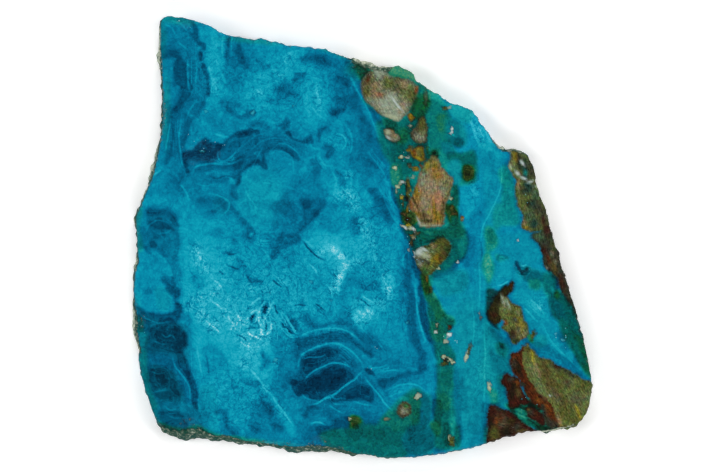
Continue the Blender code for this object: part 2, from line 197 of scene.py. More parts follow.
# Thin lines of agate and healed cracks: how much lighter or darker they are, half width, path.
LINES = [
    # the upper left corner and the left column
    (22, 0.9, "177,41 182,45 188,49"), (30, 1, "188,58 188,74 189,92"), (20, 0.9, "195,56 197,70 195,86"),
    (14, 0.8, "164,24 172,28 176,36"), (14, 0.8, "168,20 180,24 188,32"),
    (18, 0.9, "208,62 212,80 211,96"), (22, 1.1, "214,75 215,84 217,93"),
    (20, 1.1, "220,71 223,77 226,84"), (14, 0.8, "224,34 222,48 224,64"),
    (12, 0.8, "233,34 231,46 232,58"), (18, 0.8, "171,118 168,134 166,150"),
    (22, 0.9, "182,118 179,134 180,150 183,165 187,176"), (14, 0.8, "176,120 174,138 173,156"),
    (16, 0.8, "198,98 190,110 186,122"), (22, 1, "214,134 221,136 228,137"),
    (26, 1, "192,173 196,167 206,164 226,164 236,162 244,159"),
    (26, 0.9, "218,150 218,157 221,161 227,160 234,154 245,142"),
    (-18, 0.9, "207,174 216,179 225,176 235,178 241,181"), (16, 0.8, "196,184 206,186 218,184"),
    (20, 0.9, "180,184 186,192 190,202"), (26, 0.9, "152,176 157,172 161,170"),
    # the swirl
    (14, 0.8, "247,158 252,149 261,142 272,138 284,139 296,144"),
    (14, 0.8, "252,170 254,164 258,157 264,144"), (16, 0.8, "270,152 278,144 288,145 296,152 302,160"),
    (12, 0.8, "238,152 246,143 256,136 268,133"), (14, 0.9, "311,140 311,146 315,149 321,148"),
    (16, 0.9, "319,150 320,158 325,165 334,166"), (-14, 0.9, "315,152 317,162 324,170"),
    (12, 0.8, "276,152 284,152 292,158 294,170"), (16, 0.8, "252,92 258,91 265,95"),
    (14, 0.9, "244,186 248,196 254,204 256,214"), (10, 0.8, "260,182 268,183 275,186"),
    (18, 0.9, "256,238 264,241 272,240"), (14, 0.8, "254,243 262,246 270,246"),
    (12, 0.8, "262,248 266,254 270,262 274,270"), (10, 0.8, "265,232 274,232 280,228"),
    (24, 0.9, "335,134 343,136 346,144 342,150"), (16, 0.8, "345,124 350,132 352,144 350,154"),
    (-14, 0.8, "343,120 346,134 352,142"), (18, 0.9, "332,172 336,180 335,190"),
    (14, 0.8, "348,166 352,176 350,186"), (-12, 0.8, "320,104 326,112 330,120"),
    (18, 1, "310,104 318,114 326,120"), (22, 1.2, "316,82 317,94 322,106"),
    (20, 1.2, "280,62 288,54 298,50"), (18, 1, "274,78 280,75 286,77"),
    # the light field
    (-48, 0.9, "303,241 307,247 312,252 318,257 326,260"), (20, 0.9, "302,238 308,243 314,249"),
    (-48, 0.9, "272,279 277,284 282,287"), (-26, 0.9, "280,278 284,284 288,290 288,298"),
    (24, 0.8, "276,276 282,281 288,286"), (-14, 0.8, "296,274 298,284 297,296"),
    (44, 1, "278,317 284,325 290,333 296,336"), (50, 1, "284,314 289,322 294,330 297,334"),
    (34, 0.9, "280,326 286,333 292,337 299,336"), (-44, 1, "281,321 287,329 293,334"),
    (50, 1.1, "274,300 270,308 266,315 264,320"), (46, 1.1, "266,300 261,308 258,316 260,322"),
    (40, 1, "259,322 263,326 262,332"),
    (44, 1, "266,321 271,323 271,329 267,334 262,334 262,327 266,321"),
    (-34, 1.6, "268,304 265.5,310 263.5,314"), (-44, 0.9, "275,304 276,310 278,314"),
    (38, 1, "250,306 256,300 262,296"), (44, 1, "246,321 252,313 258,310"),
    (-36, 0.9, "244,329 252,328 260,327"), (30, 0.9, "236,312 240,320 240,330"),
    (18, 0.8, "196,345 199,358 202,376"), (-16, 0.8, "206,352 208,364 208,376"),
    (14, 0.9, "196,247 199,256 206,268 213,277"), (-14, 0.8, "187,262 192,274 200,282"),
    (26, 1, "247,369 254,373 262,384 272,396"), (24, 0.9, "270,393 279,406 287,416 293,426"),
    (20, 0.9, "208,193 222,197 229,203 228,210 221,216"), (20, 0.9, "166,222 158,220 150,224 146,232"),
    (16, 0.8, "160,233 167,233 172,230"), (18, 0.8, "140,315 150,320 160,323 172,321"),
    (26, 0.8, "161,333 166,337 172,335 176,340"), (16, 0.8, "152,340 160,344 168,344"),
    (26, 0.9, "172,356 176,368 182,375 189,386 191,402"), (20, 0.8, "150,371 158,374 166,372"),
    (20, 0.8, "152,393 160,391 168,390"), (26, 1.2, "166,407 170,410 175,409"),
    (16, 0.8, "166,414 174,418 184,418"), (12, 0.8, "200,392 198,404 202,416"),
    # the fan over the dark pool and the pool's veins
    (18, 0.9, "300,337 308,332 320,329 334,328 346,331 358,339 368,350"),
    (12, 0.8, "322,336 334,334 344,336"),
    (22, 0.9, "298,370 300,358 306,352 320,346 334,343 348,348 360,360 364,370"),
    (30, 0.7, "303,359 310,357 320,357 326,354"), (16, 0.8, "330,350 340,354 348,362 352,370"),
    (18, 0.8, "338,346 346,353 353,361"), (34, 0.9, "303,382 309,375 320,368 332,363 344,364 352,369"),
    (44, 1, "363,371 356,378 349,383 343,387 337,393 326,398 318,403 308,405"),
    (28, 0.8, "330,396 336,399 344,398"), (30, 0.9, "364,376 369,383 376,391 381,398 386,405 393,411"),
    (22, 0.8, "328,405 335,409 344,414"), (20, 0.8, "352,400 362,404 374,405"),
    (20, 0.8, "368,368 378,368 388,364"), (30, 0.9, "311,424 318,422 326,425"),
    (16, 0.8, "300,392 306,398 316,400"), (18, 0.8, "380,372 392,370 404,371"),
    (14, 0.8, "372,338 380,345 386,354"), (14, 0.8, "358,326 368,334 376,345"),
    # the flank of the blue zone
    (14, 0.8, "351,78 357,90 363,101 369,112 375,126 380,141"), (14, 0.8, "372,150 379,159 386,168"),
    (14, 0.8, "368,152 376,162 384,174 388,186"), (18, 0.8, "390,184 390,196 395,206 400,212"),
    (14, 0.8, "384,186 384,198 390,212 398,224"), (16, 0.8, "378,186 382,194 388,200"),
    (18, 0.9, "406,238 411,250 415,260 417,272"), (22, 1, "415,280 416,296 418,314 422,330 427,344"),
    (12, 0.8, "400,306 401,320 401,334"), (12, 0.8, "404,300 406,318 405,336"),
    (14, 0.8, "408,250 403,260 406,272"), (16, 0.8, "426,296 427,310 431,324 436,340"),
    (14, 0.8, "436,348 440,362 440,378"), (16, 0.8, "384,392 394,387 408,384 420,387 430,395"),
    (12, 0.8, "388,398 398,393 410,391"),
    # the turquoise bands and the right side
    (30, 1.5, "471,119 474,130 480,146"), (26, 1.2, "481,122 487,134 491,144"),
    (18, 0.8, "502,161 500,189 490,213 483,227 479,247"), (14, 0.8, "479,262 480,284 479,314"),
    (14, 0.8, "484,324 485,350 484,380 485,420"), (12, 0.8, "472,300 474,330 470,360"),
    (26, 0.9, "499,257 502,257 505,258"), (34, 0.9, "497,286 503,284 509,281"),
    (26, 1, "530,299 538,306 545,315"), (20, 0.9, "522,306 530,314 538,322"),
    (18, 0.8, "540,320 552,342 566,356 582,372"), (14, 0.8, "546,336 558,350 572,362"),
    (30, 0.8, "519,265 523,266 527,264"), (-30, 1, "532,232 538,236 546,233"),
    (24, 0.9, "510,411 520,415 530,419 540,425"), (16, 0.8, "512,402 522,405 531,408"),
    (26, 0.8, "449,130 452,134 455,136"), (-20, 0.9, "478,236 482,250 480,262"),
    # blades in the light field
    (-36, 1.4, "249,321 252,317 256,314"), (40, 0.9, "250,325 255,322 258,317"),
    (-40, 0.9, "267,324 266,330"), (36, 0.9, "246,331 252,335 260,339 268,343"),
    (-40, 0.8, "294,305 300,305 306,306"), (-36, 0.8, "315,303 320,307 326,312"),
    (-30, 0.8, "315,308 320,312 325,315"), (-44, 0.9, "359,298 365,303 371,308"),
    (34, 0.8, "362,296 368,300 375,303"), (-34, 0.9, "226,264 232,267 241,270"),
    (-40, 0.9, "219,270 224,275"), (-34, 0.8, "227,255 238,254"), (34, 0.9, "211,278 219,284 224,293"),
    (36, 0.9, "209,299 217,304 222,310"), (30, 0.9, "206,320 213,327 221,333"),
    (-34, 0.9, "213,316 219,322"), (34, 0.9, "228,318 233,324 231,331"),
    (-34, 0.9, "234,334 241,336 247,341"), (34, 0.9, "240,341 246,346 254,348"),
    (-34, 0.9, "246,313 249,308 254,305"), (28, 0.8, "308,262 314,268 318,276"),
    (28, 0.8, "326,284 331,290 333,298"), (-28, 0.8, "342,250 346,256 347,264"),
    (-30, 0.8, "333,271 336,279 333,288"),
]

# Where the stone turns from blue to green: place, reach across and up, turn, hue.
HUES = [
    (468, 330, 24, 40, 0, 0.32), (470, 400, 20, 50, 0, 0.35), (362, 66, 14, 10, 0, 0.8),
    (386, 72, 28, 9, 0, 1.4), (426, 88, 16, 10, 35, 1.3), (340, 52, 20, 4, 15, 0.7),
    (166, 110, 4, 34, 0, 0.5), (162, 40, 4, 22, 0, 0.4), (250, 41, 26, 3, 5, 0.6),
    (176, 20, 20, 4, 8, 0.6), (180, 430, 30, 5, 5, 0.8), (136, 330, 5, 30, 0, 0.5),
    (250, 442, 50, 4, 5, 0.5), (262, 196, 26, 30, 0, 0.12),
]

# Broken rock and quartz in the stone. Each fragment: colour name, grain direction in degrees,
# and its outline. Later fragments lie over earlier ones.
FRAGMENTS = [
    # the quartz fragment on the upper edge, and the weathered corner above it
    ("quartz_grey", 60, "363,79 366,75 371,71 377,73 382,77 386,74 392,77 398,78 404,79 409,79 414,83 "
     "418,87 417,93 415,99 412,105 408,111 403,117 398,121 391,119 384,116 377,111 370,105 365,99 362,92 "
     "361,85"),
    ("pale_grey", 55, "354,60 362,56 372,56 382,62 388,66 387,71 384,76 380,78 375,74 371,70 366,67 "
     "360,64"),
    # the fragments of the green belt
    ("pink_brown", 80, "424,118 427,126 427,138 424,143 418,143 412,137 411,132 416,126 420,118"),
    ("quartz_grey", 20, "384,129 389,129 394,132 399,137 399,140 394,141 388,138 385,134"),
    ("ochre", 90, "411,151 419,147 424,150 425,160 421,162 415,158 411,155"),
    ("tan", 92, "433,155 438,160 442,167 448,174 453,180 451,190 449,198 445,206 444,224 436,227 422,227 "
     "418,220 415,214 409,208 410,200 413,192 417,182 420,172 424,165 428,160"),
    ("olive", 30, "417,250 425,246 433,242 439,238 448,240 451,246 449,254 443,262 436,269 430,275 "
     "424,276 420,270 415,261"),
    # the round fragment of the belt's foot
    ("pink_brown", 40, "399,405 403,402 408,402 411,406 411,412 408,416 403,418 399,416 396,411"),
    # the fragment beside the crescent vug
    ("dark_brown", 68, "498,294 503,289 508,285 513,281 514,284 512,290 508,295 505,300 502,306 502,314 "
     "501,321 496,324 491,321 488.5,314 490,306 493,300"),
    ("moss_rock", 70, "501,300 505,296 508,297 512,303 519,306 522,310 524,318 527,324 528,330 527,336 "
     "524,338 521,340 519,342 516,344 512,343 510,338 509,333 505,331 502,328 505,323 501,319 499,312 "
     "499,304"),
    # the rim rock on the right
    ("moss_rock", 75, "507,147 513,147 522,148 530,155 537,166 541,184 545,200 552,216 548,232 540,231 "
     "533,232 527,231 521,226 523,216 519,208 515,193 516,181 511,172 508,166 511,156"),
    ("dark_earth", 72, "546,226 540,231 533,234 531,237 535,241 540,246 542,254 543,262 547,270 552,273 "
     "557,277 559,284 561,291 567,298 573,308 578,320 586,340 596,340 580,290 566,258 556,234 551,226"),
    # the large lower right fragment, on rusty rock
    ("red_brown", 62, "520,350 524,345 532,352 530,364 532,376 536,386 527,386 521,382 516,377 512,369 "
     "510,361 511,354 515,352"),
    ("red_brown", 55, "526,382 536,380 544,388 552,396 560,406 563,414 566,426 557,429 551,422 546,414 "
     "540,408 533,403 528,398 525,391"),
    ("moss_rock", 62, "527,343 530,348 534,352 539,357 544,358 550,360 558,365 566,369 574,373 582,378 "
     "592,383 599,392 596,404 588,418 580,426 572,433 562,433 558,420 554,410 550,402 544,397 538,392 "
     "533,385 529,380 526,374 524,368 523,360 523,352"),
    # the red-brown rocks under it
    ("maroon", 70, "503,378 504,374 508,373 513,376 518,378 521,382 522,388 524,394 527,399 530,401 "
     "526,404 520,405 514,408 510,407 508,400 507,393 505,388 501,382"),
    ("maroon", 20, "489,406 493,405 498,407 503,409 508,410 513,414 518,419 524,423 530,427 538,431 "
     "534,440 518,442 508,444 500,447 488,449 487,430 487,418"),
    ("maroon", 40, "526,408 531,407 536,409 541,412 545,417 546,424 541,425 535,421 530,418 527,414"),
    ("dark_earth", 55, "541,404 545,406 550,414 554,419 559,425 554,429 547,426 543,415"),
]

# Patches of another colour on the fragments: colour, place, reach across and up, turn in degrees.
STAINS = [
    ("quartz_grey", 404, 411, 3.4, 3.2, 0), ("leaf_green", 406, 406, 3, 2, 30),
    ("olive", 422, 124, 4, 7, 0), ("olive", 421, 155, 2.4, 4, 0), ("rust", 415, 153, 2, 3, 0),
    ("maroon", 493.5, 315, 3, 2.6, 0), ("maroon", 517.5, 318, 2.8, 2.6, 0),
    ("rust", 505, 323, 3.4, 2.2, 10), ("white", 516, 319.5, 1, 1, 0), ("maroon", 513, 333, 3, 4, 0),
    ("black_brown", 516, 340, 3, 3, 0), ("tan", 524, 335, 4.5, 2.6, -30), ("sage", 525, 331, 3, 4, 0),
    ("gold", 520, 325, 3, 7, -10), ("sage", 505, 304, 5, 5, 0), ("pale_grey", 503, 300, 1.4, 5, -15),
    ("pale_grey", 508, 304, 1.2, 5, -20), ("olive", 514, 314, 5, 5, 0), ("pink_brown", 519, 330, 3, 5, 0),
    ("red_brown", 511, 286, 1.6, 2, 0), ("sage", 513, 166, 4, 12, -5), ("ochre", 515, 156, 2.4, 6, -10),
    ("cream", 510, 167, 1.4, 3, 0), ("black_brown", 519, 161, 2.6, 10, -4),
    ("dark_teal", 525, 170, 4.6, 14, -4), ("teal", 525, 173, 2, 3, 0), ("grey_green", 524, 152, 4, 3, 0),
    ("dark_earth", 532, 170, 3.6, 13, -12), ("white", 522, 163, 1.2, 3.4, -35),
    ("white", 517, 173, 1.4, 2.6, -35), ("white", 523, 178, 3, 1.2, 25),
    ("white", 530, 182, 3.4, 1.1, -25), ("pale_grey", 536, 187, 3, 1.2, 25),
    ("tan", 518.5, 185, 1.6, 5, -5), ("dark_earth", 523, 191, 3, 4, 0), ("dark_teal", 529, 189, 5, 5, 0),
    ("grey_green", 536, 194, 4, 5, -20), ("dark_teal", 533, 204, 6, 5, -10),
    ("black_brown", 528, 204, 1.8, 4.4, -25), ("grey_green", 530, 217, 6, 8, -10),
    ("dark_teal", 535, 224, 5, 5, 0), ("tan", 523, 221, 1.8, 5, -25), ("ochre", 526, 227, 3, 1.4, 25),
    ("dark_earth", 543, 214, 5, 14, -20), ("maroon", 543, 221, 2, 4, 0), ("maroon", 547, 232, 3, 8, -15),
    ("grey_green", 538, 236, 6, 5, 20), ("olive", 552, 243, 2.4, 6, -20), ("maroon", 544, 251, 2.6, 4, 0),
    ("red_brown", 548.5, 259, 2, 5, -10), ("pink_grey", 555, 262, 1.8, 1.8, 0),
    ("pink_grey", 552, 253, 1, 2.4, 0), ("brown", 554, 268, 3, 8, -15),
    ("pale_grey", 546.5, 268.5, 1.2, 2, 0), ("black_brown", 549, 271, 2, 2, 0),
    ("maroon", 563, 284, 2.6, 10, -20), ("dark_earth", 568, 294, 3, 8, -20),
    ("sage", 534, 372, 4, 10, -30), ("sage", 541, 388, 4, 9, -28), ("olive", 528, 352, 2.6, 6, -15),
    ("gold", 533, 358, 1.2, 8, -15), ("brown", 545, 368, 5, 9, -20), ("dark_earth", 558, 367, 8, 3, 28),
    ("maroon", 557, 366, 3, 2, 30), ("brown", 551, 384, 5, 12, -25), ("tan", 537, 368, 1.2, 8, -20),
    ("dark_earth", 570, 374, 7, 2.4, 28), ("pink_brown", 567, 382, 5, 4, 0),
    ("maroon", 567, 382, 1.6, 1.6, 0), ("sage", 587, 393, 5, 9, 0), ("pink_brown", 576, 400, 6, 8, 0),
    ("black_brown", 579.5, 387, 1.8, 1.6, 0), ("olive", 572, 417, 9, 7, 0),
    ("brown", 562, 400, 4, 9, -30), ("white", 550.5, 396, 1, 1.2, 0), ("gold", 578, 412, 1.2, 7, -20),
    ("olive", 560, 388, 4, 5, 0), ("tan", 559, 418, 2, 7, -18), ("rust", 538, 399, 2, 3, -45),
    ("rust", 549, 411, 2.2, 7, -30), ("maroon", 540, 397, 2.4, 2, 0),
    ("black_brown", 519, 366, 1.4, 6, -20), ("maroon", 522, 376, 2.4, 3, 0),
    ("brown", 518, 392, 2.6, 5, -10), ("rust", 517, 384, 2, 3, 0), ("black_brown", 512, 393, 2.6, 6, 0),
    ("dark_earth", 512, 379, 4, 2, 0), ("pink_brown", 502, 421, 5, 7, -30), ("rust", 497, 421, 1.8, 3, 0),
    ("olive", 494, 433, 5, 6, 0), ("black_brown", 490, 424, 2.4, 8, 0), ("dark_earth", 517, 427, 4, 4, 0),
    ("brown", 523, 432, 6, 3, 10), ("black_brown", 507, 432, 6, 5, 0),
    ("dark_earth", 500, 409, 5, 1.6, 10), ("ochre", 529, 410, 1.8, 1.6, 0),
    ("red_brown", 536, 413, 3, 2, 30), ("brown", 369, 84, 7, 9, 10), ("red_brown", 368, 79, 2, 3, 0),
    ("tan", 376, 86, 5, 4, 0), ("olive", 367, 93, 4, 4, 0), ("rust", 379, 95, 5, 3, 20),
    ("salmon", 377, 94, 1.6, 1.2, 0), ("ochre", 374, 100, 5, 2, 35), ("olive", 391, 84, 8, 9, 0),
    ("moss_rock", 390, 80, 6, 6, 0), ("pink_brown", 398, 88, 5, 10, 0), ("moss_rock", 408, 92, 8, 9, 0),
    ("tan", 404, 84, 4, 3, 0), ("olive", 413, 96, 4, 8, 10), ("rust", 417, 89, 1.8, 4, 10),
    ("pale_grey", 384, 106, 9, 7, 30), ("pale_grey", 398, 112, 6, 8, 0),
    ("pink_grey", 402, 108, 4, 8, 10), ("pale_grey", 392, 98, 6, 5, 40), ("white", 397, 104, 0.8, 8, -40),
    ("pink_grey", 379, 107, 4, 2.4, 30), ("cream", 391, 117, 8, 2, 10),
    # The white and cream streaks at 373,67 and 376,69 are painted glints off the chipped corner's cleavage
    # facets.
    ("quartz_grey", 372, 101, 4, 4, 0), ("sage", 378, 112, 3, 2, 30), ("white", 373, 67, 1, 7, -38),
    ("cream", 376, 69, 1, 8, -38), ("gold", 364, 63, 3, 1.4, 10), ("quartz_grey", 379, 66, 5, 2, 0),
    ("brown", 360, 60, 4, 1.6, 0), ("sage", 383, 71, 2.4, 3, 0), ("olive", 371, 72, 2.4, 2, 0),
    ("tan", 384, 76, 3, 1.6, 20), ("moss_rock", 431, 162, 5, 7, 0), ("leaf_green", 424, 170, 3, 4, 0),
    ("ochre", 436, 166, 2.4, 5, -30), ("gold", 427, 166, 2, 4, 10), ("rust", 433, 170, 1, 3, 0),
    ("ochre", 436, 177, 5, 6, 20), ("quartz_grey", 423, 180, 4, 8, 15), ("pink_grey", 431, 185, 6, 7, 0),
    ("sage", 447, 187, 4, 10, 0), ("quartz_grey", 442, 190, 3, 6, 0), ("ochre", 416, 192, 4, 11, -15),
    ("salmon", 419, 188, 1, 6, -20), ("rust", 411, 204, 2.4, 6, -10), ("salmon", 438, 200, 5, 8, 0),
    ("ochre", 434, 210, 2, 10, 0), ("gold", 429, 210, 1, 6, 0), ("pink_grey", 425, 203, 4, 8, 0),
    ("dark_brown", 414.5, 200, 0.9, 6, -30), ("maroon", 418, 208, 0.9, 5, -20),
    ("ochre", 417, 214, 4, 3, 35), ("brown", 423, 216, 4, 5, 0), ("dark_brown", 428, 221, 6, 2, 0),
    ("ochre", 438, 217, 5, 6, 0), ("brown", 443, 208, 1.6, 10, 5), ("white", 418, 221, 1.4, 4, -30),
    ("cream", 423, 226, 5, 1.4, 0), ("pale_grey", 437, 226, 6, 1.2, 0), ("white", 419, 252, 4, 4, 20),
    ("cream", 425, 257, 5, 4, 20), ("pale_grey", 420, 261, 3, 5, 0), ("white", 426, 250, 5, 1, 20),
    ("sage", 431, 250, 4, 3, 20), ("tan", 433, 245, 5, 2, 30), ("olive", 441, 246, 6, 5, 0),
    ("dark_green", 447, 251, 3, 5, 20), ("ochre", 437, 259, 4, 5, 30), ("maroon", 440, 258, 2, 3, 20),
    ("moss_rock", 430, 265, 4, 6, 10), ("gold", 432, 261, 1.4, 4, 15), ("leaf_green", 425, 272, 4, 4, 0),
    ("brown", 443, 254, 3, 3, 0), ("ochre", 393, 130, 3, 2, 20), ("tan", 394, 135, 3, 1.6, 30),
    ("white", 388, 138, 3, 1.2, 20), ("moss_rock", 418, 152, 3, 3, 0), ("rust", 414, 152, 1.6, 1.6, 0),
    ("gold", 418, 158, 3, 1.4, 20), ("olive", 422, 124, 4, 6, 0), ("quartz_grey", 420, 137, 5, 4, 0),
    ("sage", 423, 133, 2, 3, 0), ("olive", 584, 386, 6, 8, 0), ("olive", 562, 376, 6, 4, 30),
    ("olive", 565, 410, 8, 5, -30), ("pink_brown", 556, 396, 3, 8, -30),
    ("dark_earth", 516, 321, 4, 2.2, 30), ("dark_earth", 512, 337, 4, 3, 0),
    ("sage", 518, 312, 2.5, 3, 0), ("black_brown", 518, 370, 3, 6, -20),
    ("dark_earth", 514, 364, 2.5, 4, 0), ("red_brown", 551, 415, 3, 8, -30),
    ("black_brown", 515, 386, 3, 4, 0), ("red_brown", 500, 418, 4, 4, 0),
    ("dark_brown", 510, 422, 4, 4, 0), ("dark_earth", 530, 412, 4, 3, 20),
    ("dark_earth", 536, 210, 3, 4, 0), ("dark_earth", 551, 240, 3, 6, -20),
    ("dark_teal", 527, 185, 4, 1.6, 10), ("cream", 388, 132, 2.6, 1.8, 30),
    ("dark_earth", 424, 261, 9, 3, 20), ("black_brown", 499, 300, 3, 5, -20),
    ("pale_grey", 379, 71, 8, 3.4, 18), ("pale_grey", 390, 74, 4, 3, 20),
]

# Small grains and specks: colour, place, reach across and up, turn in degrees.
GRAINS = [
    ("ochre", 410.5, 117, 3, 4, -20), ("pale_grey", 410, 126, 0.8, 1.2, 0),
    ("ochre", 409, 150, 3, 1.6, 10), ("cream", 401.5, 157, 1.6, 1.6, 0), ("white", 408, 158, 1.6, 1.4, 0),
    ("cream", 395, 168, 1.8, 2.4, -20), ("pink_brown", 409, 166, 1.6, 2.4, 0),
    ("pale_grey", 413, 177, 2, 1.4, 0), ("gold", 401.5, 197, 1.6, 2, 0), ("cream", 398, 187, 1.6, 2, 0),
    ("gold", 408, 225, 2, 1.6, 0), ("pale_grey", 409, 250, 1.4, 1.2, 0),
    ("pink_grey", 414, 238, 1.4, 1.6, 0), ("pale_grey", 450, 180, 2.4, 2, 0),
    ("cream", 451, 199, 1.2, 1.4, 0), ("olive", 445.5, 108, 2.4, 1.8, 0),
    ("white", 452, 129, 1.4, 1.6, 0), ("white", 452, 132.5, 1.6, 1.2, 0), ("ochre", 462, 219, 2, 3, 0),
    ("red_brown", 449.5, 327, 2, 1.8, 0), ("white", 436, 332, 1.5, 1.5, 0),
    ("white", 449, 335, 2.8, 2.2, -20), ("pale_grey", 446, 341, 2.6, 2, 0),
    ("pale_grey", 437, 325, 1, 1.2, 0), ("cream", 443.5, 357, 1.4, 1.8, 0),
    ("black_brown", 446, 360, 2, 2, 0), ("cream", 449, 360, 2, 1.4, 0), ("olive", 444, 364, 3, 2, 0),
    ("cream", 453, 363, 1.8, 1.2, 0), ("olive", 469, 350, 2, 6, 12), ("cream", 466.5, 356, 2, 5.5, 12),
    ("cream", 438, 268, 1.2, 1.2, 0), ("white", 458, 262, 0.9, 1.2, 0),
    ("pale_grey", 418, 396, 3.4, 3, -30), ("pink_grey", 387, 419, 2.4, 1.4, 0),
    ("cream", 350, 419, 1.6, 1.2, 0), ("olive", 452, 441, 3, 5, 0), ("cream", 449, 437, 1, 1.2, 0),
    ("cream", 489.5, 387, 1.6, 4, -5), ("pale_grey", 479, 313, 1, 1, 0), ("ochre", 481, 318, 1, 1.4, 0),
    ("olive", 533, 335, 2.4, 4.4, 20), ("white", 519, 240, 0.8, 1.2, 0),
    ("milky_cyan", 556, 334, 0.9, 1.1, 0), ("milky_cyan", 563, 340, 1.3, 1, 40),
    ("milky_cyan", 566, 337, 0.9, 0.7, 0), ("pale_cyan", 206, 111, 1.6, 1.6, 0),
    ("pale_cyan", 275, 360, 1.6, 1.4, 0), ("pale_cyan", 294, 106, 1.4, 1.2, 0),
    ("pale_cyan", 311, 282, 1, 1.2, 0), ("pale_cyan", 253, 113, 1.6, 2, 0),
    # The pale cyan streak at 202,151 is a painted highlight in the dark pocket.
    ("pale_cyan", 408, 322, 1, 1.2, 0), ("pale_cyan", 202, 151, 2.4, 0.9, 0),
    ("pale_cyan", 331, 301, 1.2, 1.2, 0), ("pale_cyan", 270, 293, 0.9, 1, 0),
    ("olive", 408, 183, 2, 5, 0), ("olive", 408, 194, 2, 5, 0), ("ochre", 409, 186, 1, 2, 0),
    ("black_brown", 406.5, 186, 1, 4, 0), ("black_brown", 407, 197, 1.2, 3, 0),
    ("gold", 410, 191, 0.9, 1.6, 0), ("ochre", 416, 169, 2.4, 2.4, 0), ("rust", 415, 171, 1, 1, 0),
    ("grey_green", 426, 97, 1.8, 7, 0), ("pale_grey", 450, 107, 1.6, 1.4, 0),
    ("cream", 403, 226, 1.4, 1, 0), ("white", 406, 228, 1.6, 1.2, 10), ("cream", 411, 228, 1.4, 1, -40),
    ("white", 414, 229, 1.6, 0.8, 40), ("gold", 409, 225.5, 1.2, 0.9, 0),
    ("ochre", 412, 236, 1.4, 0.9, 0), ("pink_brown", 416, 234, 2.4, 1, -10), ("brown", 411, 243, 1, 3, 0),
    ("pale_grey", 405, 157, 1, 1, 0), ("gold", 399, 158, 0.8, 0.8, 0), ("leaf_green", 428, 148, 1, 3, 0),
    ("olive", 411, 147, 2, 1, 0), ("rust", 423, 167, 2.4, 0.9, 30), ("cream", 400, 183, 0.8, 1.4, 0),
    ("white", 403, 182, 0.9, 1, 0), ("pale_grey", 396, 192, 0.8, 1.2, 0),
    ("ochre", 403, 204, 0.8, 1.6, 0), ("brown", 404, 214, 3, 1.4, 10), ("maroon", 408, 219, 2, 1.4, 0),
    ("ochre", 407, 209, 1, 2.4, 0), ("olive", 452, 208, 2, 2.4, 0), ("brown", 454, 214, 2.4, 1.6, 0),
    ("pale_grey", 449, 193, 0.8, 1.2, 0), ("cream", 439, 269, 0.9, 0.9, 0),
    ("white", 416, 256, 0.8, 3, -30), ("ochre", 427, 278, 0.9, 3, -10), ("olive", 431, 290, 1.2, 3, 0),
    # The cream and pale grey streaks by 374,71 are painted glints off the chipped corner's cleavage facets.
    ("dark_earth", 523, 384, 2, 3, -20), ("cream", 374, 71, 8.5, 1.1, 50), ("cream", 369, 66, 6, 1.1, 30),
    ("pale_grey", 378, 71, 5, 1.2, 50),
]

# Clouded white patches of fine healed fractures: place, reach across and up, turn, amount.
FROST = [
    (190, 306, 9, 7, 0, 0.7), (200, 300, 10, 8, 0, 0.8), (216, 292, 9, 8, -30, 0.7),
    (204, 316, 9, 9, 0, 0.9), (214, 326, 9, 7, 0, 0.8), (226, 314, 8, 10, 0, 0.7),
    (240, 322, 12, 12, 0, 0.8), (230, 302, 12, 10, 0, 0.5), (248, 340, 14, 10, 30, 0.8),
    (252, 352, 9, 9, 0, 0.6), (246, 364, 8, 9, -30, 0.7), (262, 336, 12, 8, 20, 0.8),
    (262, 318, 14, 16, 0, 0.7), (202, 262, 8, 14, -30, 0.7), (196, 250, 7, 8, 0, 0.7),
    (268, 290, 14, 8, 0, 0.6), (252, 286, 8, 8, 0, 0.6), (264, 388, 6, 7, -40, 0.6),
    (280, 410, 5, 10, -35, 0.5), (276, 362, 5, 4, 0, 0.6), (348, 194, 10, 8, 20, 0.8),
    (354, 206, 7, 7, 40, 0.7), (340, 198, 8, 6, 0, 0.6), (349, 176, 5, 4, 0, 0.7),
    (366, 230, 7, 14, -20, 0.8), (372, 244, 6, 10, 0, 0.7), (330, 250, 9, 7, 30, 0.6),
    (340, 258, 10, 8, 20, 0.6), (346, 266, 7, 9, 0, 0.8), (338, 278, 5, 12, 10, 0.9),
    (334, 288, 6, 7, 30, 0.8), (358, 262, 9, 6, 20, 0.7), (384, 276, 4, 10, 0, 0.8),
    (388, 290, 5, 12, -10, 0.9), (380, 302, 9, 6, 20, 0.8), (366, 312, 12, 10, 0, 0.7),
    (362, 320, 8, 7, 0, 0.6), (352, 312, 6, 6, 0, 0.6), (322, 252, 8, 6, 20, 0.6),
    (318, 268, 8, 6, 0, 0.3), (288, 60, 10, 8, -30, 0.5), (258, 92, 6, 5, 0, 0.6),
    (318, 96, 6, 16, 0, 0.5), (334, 140, 10, 10, 0, 0.3), (215, 84, 4, 10, 0, 0.5),
    (280, 76, 6, 4, 0, 0.6), (358, 302, 8, 5, 0, 0.5), (376, 256, 10, 6, 0, 0.5),
    (478, 128, 7, 18, -22, 0.5), (474, 190, 6, 14, 10, 0.4), (538, 306, 9, 7, 40, 0.4),
    (480, 372, 8, 14, 0, 0.3), (226, 250, 12, 10, 0, 0.3), (286, 346, 8, 10, 0, 0.3),
    (302, 262, 10, 8, 0, 0.3), (272, 326, 8, 8, 0, 0.6), (285, 85, 55, 34, 0, 0.3),
    (240, 395, 40, 34, 0, 0.35), (376, 262, 24, 60, -15, 0.4), (210, 70, 28, 40, 0, 0.25),
    (268, 292, 72, 50, 0, 0.4),
]
